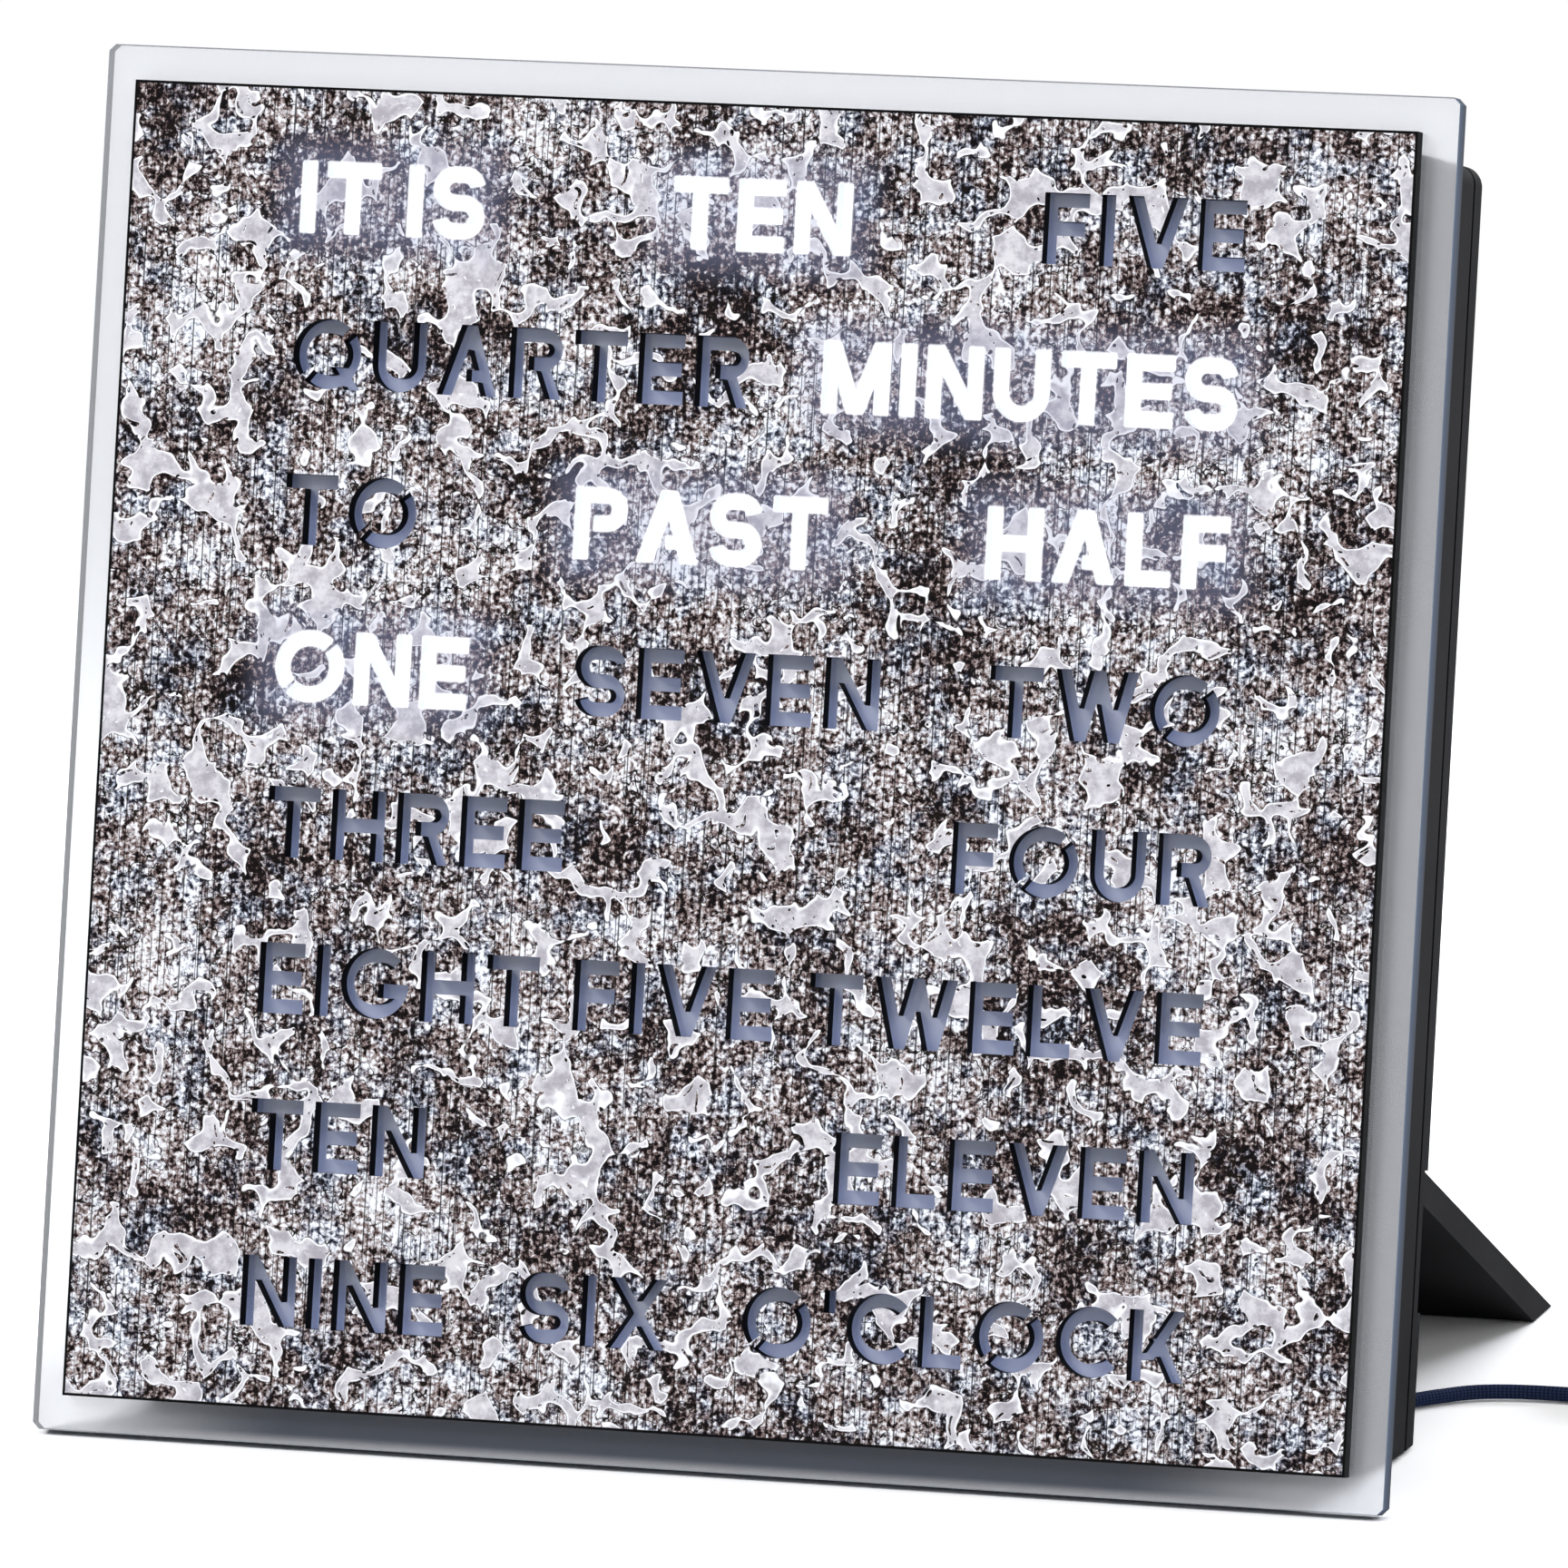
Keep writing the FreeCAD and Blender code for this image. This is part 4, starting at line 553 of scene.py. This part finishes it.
# %% The whole print
def stone_print(tree, across, flat):
    """The print's colour and its relief: the speckle with cracks, score lines except on patches,
    and each patch with a dark outline, a white rim and a mottled fill."""
    colour, height = speckle(tree, flat)
    colour = put(tree, "Mix", {0: cracks(tree, flat), FIRST: colour, SECOND: linear(CRACK_DARK)},
                 **BLEND)
    inside = pale_patches(tree, flat)
    patch = put(tree, "MapRange", {0: inside, 1: 0.0, 2: 0.02}, **EASED)
    bare = put(tree, "MapRange", {0: inside, 1: 0.02, 2: 0.0}, **EASED)
    lines = put(tree, "Math", {0: score_lines(tree, across, flat), 1: bare},
                operation="MULTIPLY")
    share = put(tree, "Math", {0: lines, 1: 0.88}, operation="MULTIPLY")
    colour = put(tree, "Mix", {0: share, FIRST: colour, SECOND: linear(SCORE_DARK)}, **BLEND)

    around = put(tree, "MapRange", {0: inside, 1: -0.035, 2: -0.012}, **EASED)
    outline = put(tree, "Math", {0: around, 1: patch}, operation="SUBTRACT")
    share = put(tree, "Math", {0: outline, 1: 0.55}, operation="MULTIPLY")
    colour = put(tree, "Mix", {0: share, FIRST: colour, SECOND: linear(PATCH_OUTLINE)}, **BLEND)
    mottle = put(tree, "TexNoise", {"Vector": flat, "Scale": 1.0 / 3.0, "Detail": 4.0,
                                    "Roughness": 0.7})
    shade = put(tree, "MapRange", {0: mottle, 1: 0.35, 2: 0.65}, **EASED)
    fill = put(tree, "Mix", {0: shade, FIRST: linear(PATCH_FILL), SECOND: linear(PATCH_SHADE)},
               **BLEND)
    deep = put(tree, "MapRange", {0: inside, 1: 0.035, 2: 0.12}, **EASED)
    fill = put(tree, "Mix", {0: deep, FIRST: linear(PATCH_RIM), SECOND: fill}, **BLEND)
    colour = put(tree, "Mix", {0: patch, FIRST: colour, SECOND: fill}, **BLEND)

    relief = put(tree, "Math", {0: height, 1: 0.8}, operation="MULTIPLY")
    relief = put(tree, "Math", {0: patch, 1: 0.5, 2: relief}, operation="MULTIPLY_ADD")
    relief = put(tree, "Math", {0: lines, 1: -0.4, 2: relief}, operation="MULTIPLY_ADD")
    return colour, relief


# %% The painted glow round lit letters
def edge_glow(tree, reach):
    """1 at a sharp edge and 0 from reach millimetres on. A Bevel node rounds the normals near an
    edge, so their product with the true normal falls from 1 to 0.71 there."""
    rounded = put(tree, "Bevel", {"Radius": reach * MM}, samples=4)
    true = put(tree, "NewGeometry", out="True Normal")
    along = put(tree, "VectorMath", {0: rounded, 1: true}, operation="DOT_PRODUCT", out="Value")
    return put(tree, "MapRange", {0: along, 1: 0.995, 2: 0.8}, **EASED)


# %% The face plate's finish
HAZE_REACH, HAZE_SHARE = 6.5, 0.3
GLOW_REACH = 0.55
RIM_INNER, RIM_OUTER = 0.45, 0.35


def stone_laminate():
    """Printed vinyl laminate on steel. It gives the eye a hardly shining, slightly uneven face,
    painted near-black shade on its rim and cut walls, and painted light of the lit words: a haze
    round them, a glow at their edges and pale, glowing walls in their cuts."""
    finish, tree, shader = new_finish("printed vinyl laminate on steel", 0.6, 0.04)
    parts = put(tree, "SeparateXYZ", {0: on_pane(tree)}).node.outputs
    across, back, up = parts["X"], parts["Y"], parts["Z"]
    flat = put(tree, "CombineXYZ", {"X": across, "Y": up})
    colour, relief = stone_print(tree, across, flat)

    haze = near_lit_words(tree, flat, HAZE_REACH)
    # Painted haze: near lit words the print is tinted grey-blue, as if by their light.
    share = put(tree, "Math", {0: haze, 1: HAZE_SHARE}, operation="MULTIPLY")
    colour = put(tree, "Mix", {0: share, FIRST: colour, SECOND: linear(PAINTED_LIT_HAZE)}, **BLEND)
    # Painted glow: near lit words the print turns white at the edges of the cuts.
    glow = put(tree, "Math", {0: edge_glow(tree, GLOW_REACH), 1: haze}, operation="MULTIPLY")
    colour = put(tree, "Mix", {0: glow, FIRST: colour, SECOND: linear("FFFFFF")}, **BLEND)

    # Painted shade: a near-black band round the plate's edge on its face, and near black on all its
    # cut and side walls.
    half_plate = PANE_SIDE / 2 - PLATE_MARGIN
    beside, above = from_middle(tree, across, up)
    outer = put(tree, "Math", {0: beside, 1: above}, operation="MAXIMUM")
    rim = put(tree, "MapRange", {0: outer, 1: half_plate - RIM_INNER, 2: half_plate - RIM_OUTER},
              **EASED)
    in_cut = put(tree, "MapRange", {0: back, 1: 0.07 - PLATE_THICK, 2: 0.1 - PLATE_THICK}, **EASED)
    black = put(tree, "Math", {0: rim, 1: in_cut}, operation="MAXIMUM")
    # Painted light: inside lit words the cut walls are painted pale and glowing, as if lit from
    # behind.
    in_word = put(tree, "MapRange", {0: haze, 1: 0.9, 2: 1.0}, **EASED)
    painted_lit_wall = put(tree, "Math", {0: in_cut, 1: in_word}, operation="MULTIPLY")
    wall = put(tree, "Mix", {0: painted_lit_wall, FIRST: linear(PAINTED_CUT_SHADE), SECOND: linear(PAINTED_LIT_WALL)},
               **BLEND)
    colour = put(tree, "Mix", {0: black, FIRST: colour, SECOND: wall}, **BLEND)

    # Painted glow: those edges and the walls of lit cuts give off a pale light.
    painted_glow = put(tree, "Math", {0: glow, 1: 2.0}, operation="MULTIPLY", use_clamp=True)
    painted_glow = put(tree, "Math", {0: painted_lit_wall, 1: painted_glow}, operation="MAXIMUM")
    light = put(tree, "Mix", {0: painted_glow, FIRST: linear("000000"), SECOND: linear(PAINTED_GLOW_TINT)},
                **BLEND)
    bump = put(tree, "Bump", {"Height": relief, "Strength": 0.4, "Distance": 0.25 * MM})
    feed(tree, shader, {"Base Color": colour, "Emission Color": light, "Emission Strength": 0.35,
                        "Normal": bump})
    return finish


# %% [markdown]
# ## Glass, lit words and unlit words
# The pane shows as a pale veil over what lies behind it, and its ground edges are slate blue.
# Behind it a milky tile stands in each word's window. A lit tile is white light, and an unlit
# one is slate blue from a painted glow, with painted shade that is dark at the top of its row
# and paler low down.

# %% The pane
# The veil's colour, and the painted shade that darkens it low down.
VEIL, VEIL_PAINTED_SHADE = "F3F5FA", "5C667A"
EDGE_DEPTHS = [(0.0, "5A6C80"), (0.2, "33435A"), (0.75, "1E2B3D"), (1.0, "101A28")]
EDGE_INNER, EDGE_OUTER = 0.06, 0.03
CLEARNESS = 0.74


def float_glass():
    """Float glass with ground edges. Its faces let three quarters of the light through and send
    the rest back as a milky veil, with painted shade that dims it along the lower border between
    the corners. The edges are matt and hold the glass's own blue, darker towards the back."""
    finish, tree, shader = new_finish("float glass with ground edges", 0.1)
    place = on_pane(tree)
    parts = put(tree, "SeparateXYZ", {0: place}).node.outputs
    back, up = parts["Y"], parts["Z"]
    beside, above = from_middle(tree, parts["X"], up)
    outer = put(tree, "Math", {0: beside, 1: above}, operation="MAXIMUM")
    edge = put(tree, "MapRange", {0: outer, 1: PANE_SIDE / 2 - EDGE_INNER,
                                  2: PANE_SIDE / 2 - EDGE_OUTER}, **EASED)
    slant = put(tree, "Math", {0: beside, 1: above}, operation="ADD")
    dub = put(tree, "MapRange", {0: slant, 1: PANE_SIDE - PANE_DUB - EDGE_INNER,
                                 2: PANE_SIDE - PANE_DUB - EDGE_OUTER}, **EASED)
    edge = put(tree, "Math", {0: edge, 1: dub}, operation="MAXIMUM")
    depth = put(tree, "Math", {0: back, 1: PANE_THICK}, operation="DIVIDE")
    blue = put(tree, "ValToRGB", {0: depth}, EDGE_DEPTHS)

    # Painted shade: the veil darkens along the lower border, between the corners, as if the casing
    # shaded it.
    dim = put(tree, "MapRange", {0: up, 1: PLATE_MARGIN + 0.5, 2: PLATE_MARGIN}, **EASED)
    for along, low, high in ((up, 0.1, 1.8), (beside, 96.0, 62.0)):
        part = put(tree, "MapRange", {0: along, 1: low, 2: high}, **EASED)
        dim = put(tree, "Math", {0: dim, 1: part}, operation="MULTIPLY")
    veil = put(tree, "Mix", {0: dim, FIRST: linear(VEIL), SECOND: linear(VEIL_PAINTED_SHADE)}, **BLEND)
    colour = put(tree, "Mix", {0: edge, FIRST: veil, SECOND: blue}, **BLEND)
    clear = put(tree, "Math", {0: edge, 1: -CLEARNESS, 2: CLEARNESS}, operation="MULTIPLY_ADD")
    ground_edge = put(tree, "Math", {0: edge, 1: 0.8, 2: 0.1}, operation="MULTIPLY_ADD")
    ripple = put(tree, "TexNoise", {"Vector": up, "Scale": 1.0 / 40.0})
    bump = put(tree, "Bump", {"Height": ripple, "Strength": 0.02, "Distance": 0.1 * MM})
    feed(tree, shader, {"Base Color": colour, "Transmission Weight": clear, "IOR": 1.5,
                        "Roughness": ground_edge, "Normal": bump})
    return finish


# %% The lit tiles
def lit_diffuser():
    """Opal acrylic with the lamps on behind it: even white light with soft brighter spots."""
    finish, tree, shader = new_finish("opal acrylic with light behind", 0.4)
    spots = put(tree, "TexNoise", {"Vector": on_pane(tree), "Scale": 1.0 / 9.0})
    light = put(tree, "ValToRGB", {0: spots}, [(0.3, "F2F5FF"), (0.7, "FFFFFF")])
    feed(tree, shader, {"Base Color": light, "Emission Color": light, "Emission Strength": 3.4})
    return finish


# %% The unlit tiles
# The painted glow of the unlit tiles, from shaded to pale.
PAINTED_STRAY_LIGHT = [(0.42, "3A4566"), (0.62, "5A6A96"), (0.82, "8E9CC6")]


def dark_diffuser():
    """The same acrylic unlit, with a painted glow of stray light from the lit chambers that makes
    it slate blue, and painted shade that makes it dark at the top of each row of words and paler
    low down. The rows repeat at one pitch up the pane."""
    finish, tree, shader = new_finish("opal acrylic in the dark", 0.35)
    place = on_pane(tree)
    up = put(tree, "SeparateXYZ", {0: place}, out="Z")
    # Painted shade: each row of unlit words is darker at its top and paler low down.
    rows = np.unique(np.round(LIT_MIDDLES[:, 1], 1))
    pitch = float(np.diff(rows).min())
    below = put(tree, "Math", {0: float(rows[-1]) + pitch / 2, 1: up}, operation="SUBTRACT")
    turns = put(tree, "Math", {0: below, 1: pitch}, operation="DIVIDE")
    share = put(tree, "Math", {0: turns}, operation="FRACT")
    clouds = put(tree, "TexNoise", {"Vector": place, "Scale": 1.0 / 6.0})
    share = put(tree, "Math", {0: clouds, 1: 0.3, 2: share}, operation="MULTIPLY_ADD")
    stray = put(tree, "ValToRGB", {0: share}, PAINTED_STRAY_LIGHT)
    # Painted glow: the unlit tile gives off its slate blue as if stray light reached it.
    feed(tree, shader, {"Base Color": stray, "Emission Color": stray, "Emission Strength": 0.75})
    return finish


# %% [markdown]
# ## Moulded, metal and woven finishes
# Most other pieces are moulded plastic, rubber or sheet metal. What the eye reads on them is a
# grain of a few tenths of a millimetre, slow changes of tone over a few centimetres, and a sheen
# that varies with both. One function lays these three with each finish's own real sizes.

# %% Moulded plastic and rubber
MATT_FROM = 0.7


def moulded(name, colour, tone, roughness, grain, depth, handled=30.0, gloss=0.5):
    """Plastic or rubber from a textured mould. The colour goes to tone in slow clouds handled
    millimetres across, and the grain is that many millimetres wide and depth millimetres deep."""
    finish, tree, shader = new_finish(name, roughness, gloss)
    place = on_pane(tree)
    clouds = put(tree, "TexNoise", {"Vector": place, "Scale": 1.0 / handled, "Detail": 3.0})
    pits = put(tree, "TexNoise", {"Vector": place, "Scale": 1.0 / grain, "Detail": 3.0,
                                  "Roughness": 0.6})
    slow = put(tree, "MapRange", {0: clouds, 1: 0.35, 2: 0.65}, **EASED)
    mixed = put(tree, "Mix", {0: slow, FIRST: linear(colour), SECOND: linear(tone)}, **BLEND)
    flecks = put(tree, "MapRange", {0: pits, 1: 0.55, 2: 0.75}, **EASED)
    flecks = put(tree, "Math", {0: flecks, 1: 0.35}, operation="MULTIPLY")
    mixed = put(tree, "Mix", {0: flecks, FIRST: mixed, SECOND: linear(tone)}, **BLEND)
    sheen = put(tree, "Math", {0: pits, 1: 0.24, 2: roughness - 0.12}, operation="MULTIPLY_ADD",
                use_clamp=True)
    bump = put(tree, "Bump", {"Height": pits, "Strength": 0.6, "Distance": depth * MM})
    feed(tree, shader, {"Base Color": mixed, "Roughness": sheen, "Normal": bump,
                        "IOR": 1.2 if roughness > MATT_FROM else 1.4})
    return finish


# %% Metal
LINE_WIDTH, LINE_LENGTH = 0.25, 12.0


def brushed(name, colour, tone, roughness):
    """Bare metal with fine lines: noise stretched along the pane's width. Real brush lines are
    under 0.1 mm wide, too fine to show, so they are drawn 0.25 mm wide."""
    finish, tree, shader = new_finish(name, roughness)
    stretched = put(tree, "Mapping", {"Vector": on_pane(tree),
                                      "Scale": (1 / LINE_LENGTH, 1.0, 1.0)})
    lines = put(tree, "TexNoise", {"Vector": stretched, "Scale": 1.0 / LINE_WIDTH})
    mixed = put(tree, "Mix", {0: lines, FIRST: linear(colour), SECOND: linear(tone)}, **BLEND)
    sheen = put(tree, "Math", {0: lines, 1: 0.2, 2: roughness - 0.1}, operation="MULTIPLY_ADD",
                use_clamp=True)
    feed(tree, shader, {"Base Color": mixed, "Metallic": 1.0, "Roughness": sheen})
    return finish


# %% Circuit board
PIN_PITCH = 2.54


def circuit_board():
    """Green solder mask over copper on glass epoxy: tracks show as slightly paler, slightly
    raised lines, one contact pitch apart."""
    finish, tree, shader = new_finish("green solder mask on glass epoxy", 0.35)
    parts = put(tree, "SeparateXYZ", {0: on_pane(tree)}).node.outputs
    flat = put(tree, "CombineXYZ", {"X": parts["X"], "Y": parts["Z"]})
    tracks = put(tree, "TexBrick", {"Vector": flat, "Scale": 1.0, "Brick Width": 9.0,
                                    "Row Height": PIN_PITCH, "Mortar Size": 0.25,
                                    "Mortar Smooth": 0.2}, out="Fac")
    share = put(tree, "Math", {0: tracks, 1: 0.7}, operation="MULTIPLY")
    colour = put(tree, "Mix", {0: share, FIRST: linear("17513A"), SECOND: linear("3F8A5E")},
                 **BLEND)
    bump = put(tree, "Bump", {"Height": tracks, "Strength": 0.5, "Distance": 0.04 * MM})
    feed(tree, shader, {"Base Color": colour, "Normal": bump})
    return finish


# %% Ribbon cable
CORE_PITCH = 1.27


def ribbon_cable():
    """Flat grey vinyl cable: round cores side by side, with a painted highlight on the top of each
    core and painted shade between.
    """
    finish, tree, shader = new_finish("grey vinyl ribbon cable", 0.5)
    across = put(tree, "SeparateXYZ", {0: on_pane(tree)}, out="X")
    turns = put(tree, "Math", {0: across, 1: 2 * math.pi / CORE_PITCH}, operation="MULTIPLY")
    cores = put(tree, "Math", {0: turns}, operation="SINE")
    # Painted highlight and shade: the colour follows the cores' roundness, pale on top, dark
    # between.
    crest_and_highlight = put(tree, "Math", {0: cores, 1: 0.5, 2: 0.5}, operation="MULTIPLY_ADD")
    colour = put(tree, "Mix", {0: crest_and_highlight, FIRST: linear("6E7074"), SECOND: linear("A9ABAF")},
                 **BLEND)
    bump = put(tree, "Bump", {"Height": crest_and_highlight, "Strength": 0.8, "Distance": 0.3 * MM})
    feed(tree, shader, {"Base Color": colour, "Normal": bump})
    return finish


# %% The woven sleeve
YARNS_ROUND = 8
YARN_PITCH = 1.3


def woven_sleeve():
    """Braided polyester yarn on the lead, from the tube's own length and way round in metres: two
    sets of slanting yarns cross, and where the product of their waves is positive one set is on
    top. It gives the eye a dull navy with small painted highlights where a yarn lies on top. Real
    yarns are about 0.2 mm, too fine to show, so they are drawn at a pitch of 1.3 mm."""
    finish, tree, shader = new_finish("braided navy polyester", 0.85, 0.1)
    way = put(tree, "UVMap", uv_map="weave")
    parts = put(tree, "SeparateXYZ", {0: way}).node.outputs
    turn_part = put(tree, "Math", {0: parts["Y"], 1: YARNS_ROUND / (CORD_RADIUS * MM)},
                    operation="MULTIPLY")
    run_part = put(tree, "Math", {0: parts["X"], 1: 2 * math.pi / (YARN_PITCH * MM)},
                   operation="MULTIPLY")
    crossing = 1.0
    for rule in ("ADD", "SUBTRACT"):
        slant = put(tree, "Math", {0: run_part, 1: turn_part}, operation=rule)
        wave = put(tree, "Math", {0: slant}, operation="SINE")
        crossing = put(tree, "Math", {0: crossing, 1: wave}, operation="MULTIPLY")
    yarn = put(tree, "MapRange", {0: crossing, 1: -0.6, 2: 0.6}, **EASED)
    in_mm = put(tree, "VectorMath", {0: way, "Scale": METRE[0]}, operation="SCALE")
    wear = put(tree, "TexNoise", {"Vector": in_mm, "Scale": 1.0 / 3.0, "Detail": 3.0})
    navy = put(tree, "Mix", {0: wear, FIRST: linear("0D1426"), SECOND: linear("1B2642")}, **BLEND)
    # Painted highlight: the yarns lying on top are paler, as if they caught the light.
    crest_and_highlight = put(tree, "Math", {0: yarn, 1: 0.45}, operation="MULTIPLY")
    colour = put(tree, "Mix", {0: crest_and_highlight, FIRST: navy, SECOND: linear("40507A")}, **BLEND)
    bump = put(tree, "Bump", {"Height": yarn, "Strength": 0.8, "Distance": 0.12 * MM})
    feed(tree, shader, {"Base Color": colour, "Normal": bump})
    return finish


# %% [markdown]
# ## Every finish in its slot
# Each rigid piece comes with a named slot, and one finish goes into it. The moulded ones give
# colour, tone, roughness, then the width and depth of the grain in millimetres.

# %% The finishes
FINISHES = {
    # The pane, the plate and the tiles behind the words, as above.
    "glass_clear": float_glass(),
    "stone_laminate": stone_laminate(),
    "lit_diffuser": lit_diffuser(),
    "dark_diffuser": dark_diffuser(),
    # ABS from a spark-eroded mould: dull black with a fine grain and hardly any shine.
    "black_casing": moulded("spark-textured black ABS", "151517", "1B1B1D", 0.72, 0.35, 0.02,
                            gloss=0.15),
    # Plastic from a plain mould: the chamber grid and the cable tie, black that swallows light.
    "black_inside": moulded("plain black plastic of inside parts", "101012", "1A1A1C", 0.75, 0.5,
                            0.02),
    # Smoother ABS: the buttons, a little paler and shinier than the casing round them.
    "black_button": moulded("satin black ABS of buttons", "232327", "343437", 0.38, 0.3, 0.01,
                            6.0),
    # Thermoplastic rubber: the bush, the plug's grip and its relief, soft black that dusts grey.
    "black_rubber": moulded("soft black rubber", "1B1B1E", "2A2A2D", 0.68, 0.4, 0.03, 8.0),
    # Closed-cell polyethylene foam: open pores on its cut sides, no shine.
    "foam_tape": moulded("black foam tape", "1A1A1C", "3A3A3D", 0.9, 0.6, 0.15, 5.0),
    # Moulded epoxy: chips, switches and the cell's holder, dark grey with a faint even sheen.
    "chip_black": moulded("matt epoxy of chips and switches", "1C1D20", "303236", 0.5, 0.25,
                          0.01, 4.0),
    # Natural nylon: headers, cream and slightly waxy.
    "connector_cream": moulded("cream nylon connectors", "E4DCC4", "CFC5A8", 0.45, 0.5, 0.01,
                               5.0),
    # Polyamide cups filled with yellowish gel: the lamps, white with warm middles.
    "lamp_white": moulded("white polyamide lamps with gel", "F0EEE2", "E6DDA0", 0.3, 1.5, 0.01,
                          3.0),
    # Polyester moulding: the plug's insert, clean white.
    "plug_white": moulded("white polyester plug insert", "F0F0EE", "DADAD6", 0.4, 0.4, 0.01, 4.0),
    # Glass epoxy boards and vinyl ribbon, as above.
    "board_green": circuit_board(),
    "ribbon_grey": ribbon_cable(),
    # Zinc-plated steel: screws, pins and the coin cell, a darkish grey with a dull shine.
    "steel": brushed("dark zinc-plated steel", "85888D", "606368", 0.32),
    # Drawn aluminium: the cans of the capacitor and the crystal, pale and evenly bright.
    "can_metal": brushed("drawn aluminium cans", "BFC1C5", "9C9FA5", 0.28),
    # Nickel-plated steel: the plug's shell, warm and bright.
    "plug_metal": brushed("nickel-plated steel plug shell", "BDB9AF", "97938A", 0.25),
    # Vinyl jacket: the lead inside the casing, dark navy and smooth.
    "cord_weave": moulded("navy vinyl lead jacket", "1A2238", "3A4868", 0.65, 0.5, 0.05, 2.0),
}
for node in nodes.values():
    for place in node.material_slots:
        place.material = FINISHES[place.material.name]
lead.data.materials.append(woven_sleeve())
print(len(FINISHES) + 1, "finishes")
